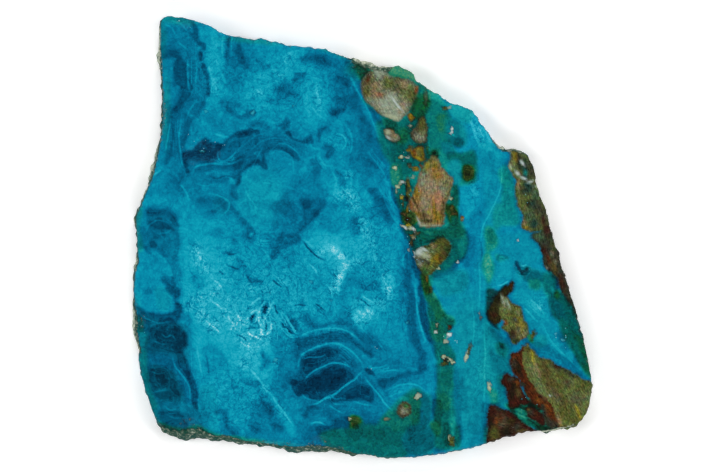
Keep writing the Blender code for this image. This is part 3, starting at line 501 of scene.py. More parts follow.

# Crystal-lined pockets, whose glitter is painted as glints: place, reach across and up, turn, amount.
GLITTER = [
    (198, 150, 16, 12, 0, 0.08), (216, 148, 12, 8, 0, 0.08), (374, 358, 6, 9, 0, 0.1),
    (408, 158, 14, 10, 0, 0.06), (408, 190, 10, 16, 0, 0.08), (408, 228, 10, 7, 0, 0.1),
    (412, 240, 8, 10, 0, 0.08), (426, 256, 10, 10, 0, 0.06), (448, 338, 10, 8, 0, 0.08),
    (448, 361, 10, 7, 0, 0.1), (526, 178, 8, 16, 0, 0.06), (139, 328, 4, 10, 0, 0.35),
    (560, 340, 10, 8, 20, 0.1), (526, 404, 8, 5, 0, 0.12), (184, 20, 10, 8, 0, 0.12),
]

# Weathered crust on the broken sides: amount, softness of the edge, outline.
CRUST = [
    (1, 1.2, "140,400 157,423.5 165,428 175,431 185,430 194,428.5 205,432 213,436 225,435.5 235,438 "
     "245,441 260,443 280,445.5 300,447 310,445.5 322,446 335,448.5 348,451.5 360,455 372,457.5 400,462 "
     "400,475 140,475"),
    (1.7, 3, "110,180 145,190 141,200 136,212 135,230 136,250 138,262 134,272 133,290 133.5,305 136,314 "
     "136,322 136,335 139,346 139,352 110,360"),
    (1.8, 4, "130,14 159,16 161,60 161,100 158,150 149,185 142,200 130,200"),
    (1.8, 4.5, "352,50 395,50 390,68 382,69 372,67 360,64 352,60"),
    (1.8, 0.9, "538,431 548,430 560,427 572,423 574,425 562,429.5 549,432 538,433"),
    (1.8, 4, "496,136 524,136 524,151 512,150 498,149"),
]

# Lobes and pools with a clear outline: tone, softness of the edge, outline. Later ones lie on earlier.
PATCHES = [
    # the upper left lobes
    (66, 2.5, "158,46 168,46 179,48 180,53 174,56 168,59 158,60"),
    (54, 1.6, "170,50 176,51 180,55 181,60 176,58 171,55"),
    (96, 2, "163,61 170,60 174,65 174,76 173,88 176,98 170,104 164,100 162,80"),
    (80, 2, "188,58 197,56 202,66 206,82 207,96 200,108 190,118 182,116 190,104 194,92 190,78"),
    (53, 1.2, "175,59 182,61 188,64 189,69 187,74 186,78 191,82 194,88 192,91 188,91 183,88 179,85 176,81 "
     "175,76 174,70"),
    (51, 1.4, "182,93 190,92 190,97 186,101 183,106 179,110 174,113 170,114 170,110 174,107 180,100"),
    (40, 1.2, "173,107 177,106 177,110 173,112"), (44, 1, "198,53 202,52 204,57 203,61 199,60 198,57"),
    (55, 1.2, "201,65 206,64 208,71 210,79 211,87 211,95 207,97 207,88 205,79 202,72"),
    (62, 1, "190,23 196,24 197,28 198,33 200,39 205,44 207,48 204,51 201,48 198,45 195,42 193,39 190,34 "
     "193,32 191,28"),
    (110, 1.5, "198,27 206,27 216,34 223,38 224,48 223,60 222,70 224,82 222,96 214,104 208,108 211,96 "
     "211,84 208,70 205,60 208,50 204,40 200,33"),
    (66, 1.2, "184,112 190,118 193,116 198,108 202,100 206,99 204,106 198,114 192,122 190,132 186,138 "
     "184,146 184,150 182,146 183,138 186,128 184,122"),
    (98, 1.2, "192,122 200,118 212,122 224,124 234,128 232,133 226,138 221,143 214,141 208,138 203,137 "
     "198,142 194,148 187,150 185,143 189,136 191,128"),
    # the dark pocket
    (46, 0.9, "183,151 190,150 194,149 197,145 200,142 203,139 207,139 210,142 216,143 220,144 224,145 "
     "225,147 222,149 218,152 217,155 217,159 213,161 206,162 198,161 191,160 187,162 188,167 190,172 "
     "189,174 186,173 183,167 182,159 182,153"),
    (37, 1.5, "196,157 204,158 213,158 212,161 203,161 196,160"),
    (36, 1.5, "186,154 194,152 196,156 188,158"),
    (54, 1, "222,144 227,139 231,135 236,132 244,130 252,129 258,130 252,133 245,136 238,136 231,138 "
     "226,143 224,145"),
    (70, 1.2, "218,155 220,150 226,144 232,140 240,139 248,140 246,146 238,150 232,155 226,160 220,160"),
    (78, 1.5, "192,167 204,166 218,165 230,165 234,169 226,171 210,170 198,170"),
    # the swirl's rings
    (72, 1.6, "235,143 240,140 246,138 253,136 260,136 269,136 278,137 287,138 293,140 300,144 301,149 "
     "296,148 290,145 281,144 272,145 266,146 261,149 260,156 258,159 253,160 250,163 245,169 240,176 "
     "235,180 230,172 232,158"),
    (99, 1.4, "270,152 275,150 283,151 289,153 291,158 292,164 289,169 285,172 278,175 272,172 270,164"),
    (59, 1.2, "262,150 266,146 271,146 278,146 284,147 290,149 296,152 299,156 301,160 298,160 293,158 "
     "290,154 285,151 278,150 271,150 268,152 266,156 267,162 268,167 266,170 263,169 261,165 262,161 "
     "261,156"),
    (49, 1.2, "245,166 249,163 253,160 258,159 262,162 266,164 267,168 265,169 260,166 256,165 250,166 "
     "246,169 243,173 241,179 239,184 236,187 236,182 239,177 242,171"),
    (55, 1.5, "234,161 240,156 244,156 243,161 240,168 234,170"),
    (50, 1.2, "236,133 240,131 246,130 252,129 253,132 250,135 243,136 237,137"),
    (62, 1.2, "284,117 288,120 290,126 288,130 284,130 281,127 277,126 281,123"),
    (50, 1.2, "284,134 289,131 292,133 293,136 299,139 303,141 306,138 310,134 312,138 313,142 309,144 "
     "303,144 298,142 293,139 288,136"),
    (73, 1.6, "328,148 331,146 334,150 333,156 330,157 327,153"),
    (70, 1.2, "319,131 324,128 323,134 321,141 318,142 318,136"),
    (58, 1.4, "333,113 336,108 343,108 346,110 341,112 337,116 334,116"),
    (70, 2, "336,103 343,99 350,99 357,98 357,112 350,109 344,108 338,107"),
    (113, 3, "304,92 312,88 320,92 327,100 328,112 326,120 316,120 306,114 303,102"),
    # the deep blue heart under the swirl
    (103, 1.8, "240,189 246,194 254,194 266,198 279,196 270,206 271,212 278,219 272,225 269,231 262,231 "
     "254,228 250,223 245,217 240,210 238,200"),
    (90, 3, "290,186 302,182 316,186 322,196 312,200 300,200 288,198"),
    (85, 2, "276,220 288,218 300,216 300,226 298,236 286,236 276,232 272,226"),
    (67, 1.6, "279,206 286,203 291,203 291,210 285,213 279,213"),
    (69, 1.4, "300,200 306,198 312,199 318,200 323,200 326,203 324,208 320,213 316,217 312,222 307,226 "
     "303,231 300,234 298,229 300,224 303,218 305,214 302,208"),
    (54, 1.4, "303,202 308,200 314,201 311,206 306,209"), (53, 1.4, "313,211 320,209 319,214 314,217"),
    (67, 1.6, "280,234 285,232 290,235 296,234 300,237 301,242 296,243 290,245 284,249 280,250 278,254 "
     "275,259 272,260 270,256 271,252 274,246 276,242"),
    (66, 1, "248,231 254,231 257,234 254,238 249,239 246,235"),
    (126, 0.8, "250,233 254,233 254,235 250,236"),
    # the dark pool and the bands over it
    (60, 1.4, "283,352 287,347 290,344 295,340 301,337 309,337 317,336 323,334 330,332 338,331 346,333 "
     "352,336 357,341 362,346 368,351 375,356 370,357 364,353 358,348 353,344 347,341 340,340 332,341 "
     "324,343 316,344 309,346 303,346 300,349 299,353 301,358 297,361 290,361 287,357 283,355"),
    (70, 1.6, "335,349 342,350 350,355 356,362 358,369 350,368 342,364 334,361 330,358 336,355"),
    (45, 1, "300,362 303,356 306,353 310,352 315,352 319,349 324,347 329,346 335,349 339,353 335,356 "
     "330,358 327,361 323,363 319,366 314,370 309,374 304,374 301,368"),
    (34, 1.4, "303,361 310,359 317,360 316,364 309,366 303,366"),
    (36, 1.2, "325,351 331,350 331,355 326,356"),
    (41, 1, "289,381 294,380 300,381 303,380 309,378 315,375 320,371 324,368 331,366 340,366 348,369 "
     "353,374 355,378 350,381 345,385 338,389 331,392 326,396 320,399 312,400 309,396 304,394 298,396 "
     "295,393 292,388"),
    (35, 2, "312,380 322,374 334,371 344,374 344,381 334,386 322,390 312,389"),
    (33, 1.4, "297,385 304,384 308,390 304,393 298,392"),
    (46, 1, "331,401 336,396 343,393 350,389 355,386 360,384 367,386 372,390 374,395 373,401 370,403 "
     "366,401 361,400 355,400 346,401 337,402 332,403"),
    (46, 1, "364,370 368,369 373,371 376,374 370,375 365,373"),
    (62, 1.4, "376,379 384,377 392,376 400,374 410,372 420,371 424,374 414,376 404,378 398,381 391,385 "
     "386,388 381,389 378,385"),
    (53, 1.2, "379,381 386,380 388,384 383,387 380,386"),
    (79, 1.4, "368,362 378,363 390,361 402,363 412,366 404,368 392,367 380,367 370,366"),
    # below the pool
    (61, 1.6, "303,413 308,407 316,404 320,407 318,410 312,411 309,416 304,419"),
    (47, 1.4, "316,427 321,426 329,427 334,425 333,431 327,434 320,435 316,431"),
    (57, 2, "334,420 342,415 350,420 352,432 346,440 338,438 333,430"),
    (59, 1.4, "261,401 267,402 272,408 273,414 271,420 267,414 262,409"),
    (80, 1.6, "250,422 257,422 257,428 251,428"), (60, 1.4, "272,424 278,425 282,428 276,429"),
    (112, 2, "263,382 268,387 273,394 277,400 281,407 286,413 292,422 298,434 290,436 285,424 279,414 "
     "273,405 269,397 264,390"),
    # the feathered crystals of the light field
    (79, 1.2, "283,323 287,318 292,317 297,320 298,328 296,333 291,337 286,333 282,328"),
    (60, 1, "290,320 295,320 298,325 297,331 294,328 291,324"),
    (64, 0.8, "262,308 265,303 268,302 267,307 264,313 262,318 260,314"),
    (78, 0.9, "249,316 253,314 256,318 254,324 250,324"),
    (68, 1.2, "361,274 369,273 377,276 381,281 380,287 374,290 366,289 360,285 357,279"),
    # the green belt's upper part
    (60, 2.5, "366,103 373,111 380,118 390,122 400,123 408,115 413,106 417,96 424,94 427,104 425,116 "
     "428,130 427,146 430,156 424,164 412,172 402,178 393,166 388,158 386,148 383,138 379,126 372,114"),
    (76, 3, "428,97 436,98 446,104 450,112 452,124 458,136 452,148 444,154 436,155 430,148 430,132 "
     "427,118"),
    (117, 2.5, "448,103 462,106 472,111 479,120 470,122 460,117 450,112"),
    (84, 3, "450,118 458,120 462,130 458,136 452,130"),
    (50, 1.6, "455,138 462,138 465,143 459,147 454,144"),
    (64, 2.5, "446,152 462,152 474,150 478,164 478,178 472,186 464,184 461,176 462,166 456,159 448,160"),
    (36, 1.6, "431,151 436,150 439,157 435,160 431,157"),
    (52, 1.8, "418,98 422,98 421,110 416,120 411,114 414,106"),
    (56, 1.6, "424,97 430,96 429,106 427,114 421,118 422,108"),
    (50, 1.4, "385,119 392,120 397,124 392,128 386,126"),
    (96, 2, "391,164 397,165 400,174 398,184 393,186 390,176"),
    # the green belt's middle part
    (52, 2.2, "391,184 400,178 408,180 414,186 410,196 409,208 415,216 418,226 426,229 440,229 448,224 "
     "447,210 451,200 452,188 457,184 460,196 458,210 461,224 468,232 470,246 466,258 458,262 452,256 "
     "453,244 446,238 436,240 424,246 416,252 414,262 410,252 406,240 402,230 400,216 396,206 393,196"),
    (74, 1.8, "396,186 404,187 404,196 399,198 395,193"),
    (50, 1.6, "402,213 411,212 416,219 412,224 404,223"),
    (74, 1.6, "419,229 430,230 434,233 430,236 422,235"),
    (52, 1.6, "410,233 420,232 430,236 440,236 446,240 436,242 424,245 414,243"),
    (66, 2, "442,228 454,226 464,230 468,240 466,252 458,258 452,252 454,244 448,238"),
    (56, 1.6, "446,205 452,206 457,214 458,224 450,224 446,214"),
    (84, 1.6, "461,236 466,240 465,250 461,256 458,248"),
    (110, 2.5, "461,186 470,184 478,188 478,204 474,216 466,216 461,204"),
    (97, 2, "470,214 478,212 478,226 474,238 468,232 468,222"),
    (82, 2, "470,236 476,238 474,256 468,268 464,262 468,250"),
    (96, 2.5, "436,272 448,268 462,268 472,270 474,284 466,292 452,294 440,290 434,282"),
    # the flank's bands and the belt beside them
    (64, 1.4, "404,246 408,250 410,262 409,272 405,268 403,256"),
    (70, 1.4, "401,262 408,264 411,276 413,290 416,302 417,309 415,316 415,326 418,335 422,343 425,351 "
     "426,360 428,370 422,370 419,358 416,348 412,338 409,330 411,318 410,306 408,294 406,284 401,276"),
    (97, 1.2, "412,276 416,278 418,290 419,300 420,310 420,320 423,330 426,338 430,344 432,352 433,364 "
     "428,366 426,354 423,346 419,338 416,330 416,318 417,308 415,298 413,288"),
    (54, 1.2, "418,282 423,283 423,296 424,306 426,314 427,322 429,330 432,338 431,343 427,338 424,331 "
     "422,323 420,313 419,302 418,292"),
    (62, 1.6, "420,274 428,276 431,284 431,292 434,298 439,301 441,308 446,314 452,319 453,326 449,331 "
     "444,334 446,342 452,350 455,358 452,366 442,366 436,360 432,350 431,340 428,330 426,318 424,306 "
     "423,292 421,284"),
    (54, 1.4, "420,275 426,276 429,284 429,294 425,294 422,286"),
    (76, 2, "440,342 450,344 454,352 448,354 440,352"),
    # the belt's foot
    (98, 2, "396,384 406,380 416,379 426,382 433,388 434,396 428,395 420,390 410,388 400,392 392,396 "
     "388,394"),
    (64, 1.8, "404,396 410,391 416,390 424,394 430,401 431,411 429,421 425,428 420,430 417,422 419,412 "
     "419,404 415,398 410,398"),
    (70, 2, "410,398 418,398 421,406 418,414 412,408"),
    (62, 1.8, "412,410 419,410 420,420 414,427 410,420"),
    (78, 2.5, "386,412 394,410 398,418 408,419 408,426 396,430 386,426 380,420"),
    (68, 3, "318,436 336,428 350,427 362,424 372,424 384,424 396,430 408,428 412,440 408,456 380,460 "
     "340,456"),
    (64, 2.5, "410,430 420,424 430,428 434,440 432,450 416,454 406,446"),
    (52, 1.4, "408,426 414,426 414,432 409,433"), (53, 2, "374,430 383,431 382,438 376,439"),
    (53, 2, "351,428 361,428 360,436 355,441 351,436"),
    (66, 2.5, "434,366 444,364 452,368 452,384 450,396 450,412 450,430 450,448 434,450 433,436 436,424 "
     "432,410 434,396 435,380"),
    (50, 2, "433,402 441,402 442,414 440,421 434,420"),
    (65, 1.8, "431,423 438,422 440,430 436,436 431,432"), (44, 1.6, "444,424 450,426 450,444 444,444"),
    (78, 2, "452,374 458,374 460,396 460,420 456,424 452,404"),
    (57, 1.6, "455,426 461,426 462,440 457,446 454,438"),
    (50, 1.6, "462,167 468,165 474,168 474,178 469,182 463,179"),
    (40, 1.4, "465,170 470,169 472,175 467,178"),
    (65, 2, "350,417 356,415 362,420 362,427 356,430 350,428"),
    (44, 1.6, "352,422 357,422 358,427 353,428"),
    # the turquoise field on the right
    (100, 4, "478,150 500,158 512,176 506,186 500,200 502,222 520,226 540,240 542,262 530,272 546,290 "
     "550,310 562,326 566,340 578,358 588,376 560,362 536,352 524,336 522,312 508,298 514,282 500,284 "
     "486,288 478,270 482,240 484,200 480,170"),
    (88, 3, "503,186 510,190 514,198 517,208 520,218 516,226 508,222 502,214 503,200"),
    (86, 3, "503,164 509,168 513,180 513,192 507,188 503,178"),
    (93, 2.5, "488,152 496,156 498,168 494,176 489,170"),
    (74, 2, "487,234 493,231 497,237 494,244 488,242"),
    (112, 2.5, "485,256 490,254 493,264 492,276 487,282 484,270"),
    (72, 1.4, "496,255 503,255 508,258 503,259 497,259"),
    (107, 2.5, "497,262 510,262 514,272 510,280 500,284 494,278"),
    # The next two near-black patches fill the crescent pit: painted shade inside the hollow.
    (34, 1, "515,262 518,261 519,264 520,268 518,270 516,268"),
    (26, 1, "519,269 523,269 527,267 529,268 528,272 524,275 520,273"),
    (68, 2, "524,271 532,270 540,273 545,277 542,281 534,280 527,282 522,276"),
    (80, 1.8, "529,281 538,281 540,286 535,289 530,286"),
    (66, 1.8, "545,276 552,274 557,280 558,290 552,296 546,292 544,284"),
    (112, 1, "551,287 554,288 555,294 552,293"), (44, 1.4, "555,290 559,291 560,297 556,299 554,295"),
    (56, 2.4, "550,296 560,292 568,298 574,302 580,318 586,338 590,356 592,372 586,369 580,358 572,346 "
     "566,332 558,322 551,316 549,306"),
    (84, 2.4, "558,324 566,332 570,346 566,352 560,344 557,334"),
    (107, 2, "515,288 526,288 540,296 548,304 550,316 544,322 534,314 524,306 514,298"),
    (124, 0.9, "529,302 533,304 538,308 537,310 532,306"),
    (120, 0.9, "533,308 537,311 542,315 540,316 535,312"),
    # beside and under the crescent
    (30, 1.6, "487,289 492,288 498,291 504,286 508,284 506,290 500,296 497,304 495,314 497,323 500,330 "
     "494,326 489,320 486,314 485,308 487,300"),
    (70, 2, "490,326 498,330 505,336 512,344 510,350 504,344 496,340 489,334"),
    (70, 2, "496,344 503,343 508,350 506,358 499,354"), (40, 1, "500,342 504,344 504,349 501,348"),
    (30, 1, "502,353 504,354 504,359 502,358"), (82, 2.4, "496,356 510,356 514,368 508,374 498,372"),
    (78, 1.8, "492,358 496,358 496,370 492,372"), (86, 2, "484,324 488,326 490,336 486,340"),
    (84, 2.5, "496,376 502,380 506,390 508,402 500,406 496,396"),
    (70, 1.8, "482,404 487,404 487,424 482,428"), (70, 2, "481,426 487,426 488,446 482,447"),
    (93, 3, "468,404 480,404 480,440 468,442"), (66, 1.2, "488,404 497,403 500,406 490,408"),
    # among the red-brown rocks
    (35, 1.6, "523,382 528,384 530,392 527,395 524,388"),
    (34, 2, "508,404 520,404 530,400 538,404 542,410 534,410 526,412 520,409 511,410"),
    (70, 1, "522,406 527,404 531,402 529,407 524,409"), (18, 1, "529,404 533,402 535,406 531,408"),
    (52, 1.6, "510,410 517,411 524,414 530,418 537,422 545,427 556,428 552,431 542,431 533,427 526,423 "
     "518,419 512,415"),
    (92, 1.2, "517,412 523,414 526,418 523,420 519,416"),
    (44, 1.6, "536,425 546,428 558,429 556,434 540,434"),
    # the lobes down the left side
    (104, 3, "138,254 146,251 156,252 164,258 170,266 172,276 166,278 168,288 174,298 172,308 166,314 "
     "152,313 140,308 136,290 136,268"),
    (78, 2.5, "138,210 150,216 166,216 176,226 180,238 180,250 170,256 160,250 146,248 138,246"),
    (64, 1.3, "138,207 145,210 153,211 161,209 168,211 174,217 177,224 176,229 173,224 168,217 161,214 "
     "153,214 144,214 138,211"),
    (52, 2, "150,221 158,219 166,222 172,227 174,231 164,230 154,229 148,226"),
    (60, 1.2, "152,233 157,234 160,238 155,239"), (60, 1.2, "160,231 165,232 168,236 163,236"),
    (48, 1.4, "150,240 155,241 157,246 152,248 148,244"), (66, 1.4, "144,246 149,248 152,254 147,254"),
    (70, 1.3, "156,247 163,250 169,257 173,264 176,274 173,276 170,266 164,257 157,251"),
    (86, 1.2, "153,256 156,257 159,262 156,262"), (84, 2, "168,248 178,248 178,260 174,264 170,256"),
    (88, 2, "166,258 172,266 176,280 180,292 182,276 178,262"),
    (69, 1.6, "162,276 166,276 170,282 172,287 167,288 163,283"),
    (61, 1.5, "167,284 172,285 178,288 180,294 178,298 173,296 169,291"),
    (62, 1.3, "171,276 175,277 177,283 175,287 172,282"),
    (78, 1.6, "144,288 151,288 153,293 148,295 144,293"),
    (54, 1.6, "174,300 179,303 182,309 182,315 178,319 172,322 168,321 173,316 176,310 175,304"),
    (60, 2, "139,307 148,311 158,314 170,313 170,321 160,322 150,320 140,316 137,312"),
    (58, 3, "138,314 150,320 160,324 156,332 156,344 162,350 150,350 142,346 138,330"),
    (48, 2, "165,320 175,321 180,328 176,336 170,340 166,332 164,326"),
    (43, 1.8, "176,332 183,331 188,337 188,345 183,349 176,348 173,341"),
    (44, 2, "158,336 168,338 174,346 176,352 166,350 158,344"),
    (88, 1.4, "139,334 146,334 146,344 142,346 139,342"),
    (90, 2, "180,314 190,314 192,332 190,350 187,334 182,324"),
    (66, 2.5, "144,351 156,350 168,354 176,366 172,372 158,366 148,366"),
    (46, 1.6, "174,350 181,349 185,358 187,366 183,368 178,360"),
    (76, 2, "139,350 145,350 147,370 152,392 158,412 161,420 157,422 149,400 141,372"),
    (54, 3, "149,366 162,366 172,372 178,386 180,400 170,402 158,400 152,388"),
    (42, 2, "157,369 166,371 169,380 165,388 158,384 155,376"),
    (48, 2, "170,380 178,380 184,392 178,396 172,390"),
    (80, 1.5, "176,364 182,372 187,380 189,392 190,404 186,400 184,388 178,376 173,368"),
    (62, 1.4, "180,380 184,384 186,394 187,404 183,402 181,390"),
    (48, 1.6, "179,362 183,362 188,370 193,377 196,386 197,396 198,408 195,410 193,400 191,388 187,379 "
     "181,370"),
    (72, 2, "160,400 176,400 178,408 170,411 161,408"),
    (54, 2.4, "160,411 176,411 188,418 186,427 172,425 163,421"),
    (76, 3, "182,404 192,408 200,412 204,428 192,427 184,416"),
    (60, 1.2, "186,412 189,414 192,420 188,420"),
    (50, 1.2, "158,421 166,425 176,428 186,428 196,426 206,430 214,434 213,437 204,433 194,429 184,431 "
     "174,431 164,428 158,424"),
    (66, 1.6, "223,414 228,417 228,424 233,431 239,437 240,441 234,438 228,431 223,423"),
    (98, 2.5, "203,386 214,392 216,406 212,414 204,408 200,394"),
    (104, 2, "211,414 218,416 220,428 214,432 208,424"),
    (108, 3, "228,406 244,402 250,420 246,434 236,428 230,416"),
    (100, 2.5, "204,346 216,346 220,360 208,366 203,356"),
    # the loop above the light field
    (72, 1.6, "230,186 237,187 236,199 231,197"),
    (82, 1.3, "231,207 238,212 246,220 244,223 236,216 230,211"),
    (94, 2, "209,231 222,231 234,232 232,237 220,238 210,236"),
    (84, 1.2, "223,251 231,252 231,255 224,255"), (90, 1.4, "240,261 244,262 244,268 240,267"),
    (110, 3, "184,198 192,206 190,222 196,240 192,250 182,240 180,220"),
    # lighter places in the blue field
    (106, 5, "380,226 398,232 402,256 400,290 390,300 378,288 372,268 378,246"),
    (106, 4, "360,262 378,264 376,280 364,284 356,274"),
    (96, 4, "280,334 294,336 296,352 300,366 290,374 280,362 278,346"),
    (110, 4, "286,296 304,292 330,292 336,304 322,314 300,312 288,308"),
    (104, 4, "204,350 222,356 232,372 236,392 250,408 246,430 232,420 218,404 208,388 202,368"),
    (104, 4, "262,176 286,176 284,194 270,200 258,196"),
    (102, 4, "142,196 170,198 200,206 216,206 204,214 180,212 160,207 144,206"),
    # round the quartz fragment on the upper edge
    (108, 2, "382,64 392,62 400,62 410,67 416,76 415,83 408,79 400,78 392,76 385,73"),
    (46, 1.5, "357,64 366,67 370,71 366,75 362,81 359,74"),
    (62, 2, "414,100 422,98 430,102 428,110 418,112 412,108"), (76, 1.6, "418,86 424,88 424,100 418,98"),
    (116, 2, "428,90 436,92 446,102 444,106 434,100 428,98"),
    (100, 2.4, "391,172 399,170 400,184 393,186"),
    # small patches over the whole face
    (84, 2.5, "374,140 384,140 391,158 391,178 383,176 377,160"),
    (54, 1.8, "409,250 416,256 424,276 420,282 412,270"),
    (62, 2, "449,254 458,250 457,268 441,277 432,277 444,262"),
    (84, 3, "350,215 360,217 362,232 354,234 350,226"), (86, 3, "224,73 242,71 246,84 234,93 226,86"),
    (84, 2.4, "508,328 528,338 546,344 556,352 546,356 534,350 522,342 512,344 506,336"),
    (50, 2.2, "572,330 582,340 588,352 593,376 586,374 578,360 570,346"),
    # round the rocks on the right
    (77, 2.2, "543,272 550,277 552,284 546,288 542,281"),
    (60, 1.8, "553,271 558,276 559,287 554,288 552,279"),
    (60, 3, "561,320 570,328 577,344 584,360 579,363 571,349 563,335"),
    (80, 2.6, "556,352 568,358 580,368 590,376 580,376 566,366 555,358"),
    (96, 2, "388,72 398,70 403,74 396,78 388,77"), (76, 3, "381,126 388,142 391,158 386,160 380,142"),
    # pale and dusky patches between the lobes
    (155, 2.5, "330,244 338,246 346,254 350,264 346,270 340,264 334,256 328,250"),
    (153, 2, "340,268 346,272 342,282 338,290 334,288 336,278"),
    (132, 2.5, "385,276 393,278 393,292 387,294 384,286"),
    (150, 2.5, "354,314 362,311 371,309 374,314 366,320 356,322"),
    (121, 2.5, "224,348 232,350 240,358 238,366 230,364 225,356"),
    (117, 2.5, "228,368 236,370 242,378 240,384 232,378"),
    (114, 2.5, "276,180 285,181 280,192 279,200 271,199 272,190"),
    (109, 2.5, "357,186 366,187 372,198 372,206 364,204 360,196"),
    (104, 2.5, "191,272 200,274 204,288 197,290 191,282"),
    # dark patches by the left lobe and over the light field
    (94, 2, "136,207 144,208 147,219 146,227 139,226 137,216"),
    (72, 2.2, "210,159 220,159 230,157 229,163 220,167 211,167"),
    (60, 2.2, "196,157 204,160 212,158 211,164 203,165 196,163"),
    (74, 3, "372,140 388,142 389,158 386,164 376,158"),
]

# Hollows in the face, which are smooth and dark inside: place, reach across and up, turn, amount.
POCKETS = [
    (203, 152, 26, 14, 0, 1), (184, 20, 18, 12, 0, 1), (520, 268, 16, 12, 0, 1), (494, 300, 14, 16, 0, 1),
]

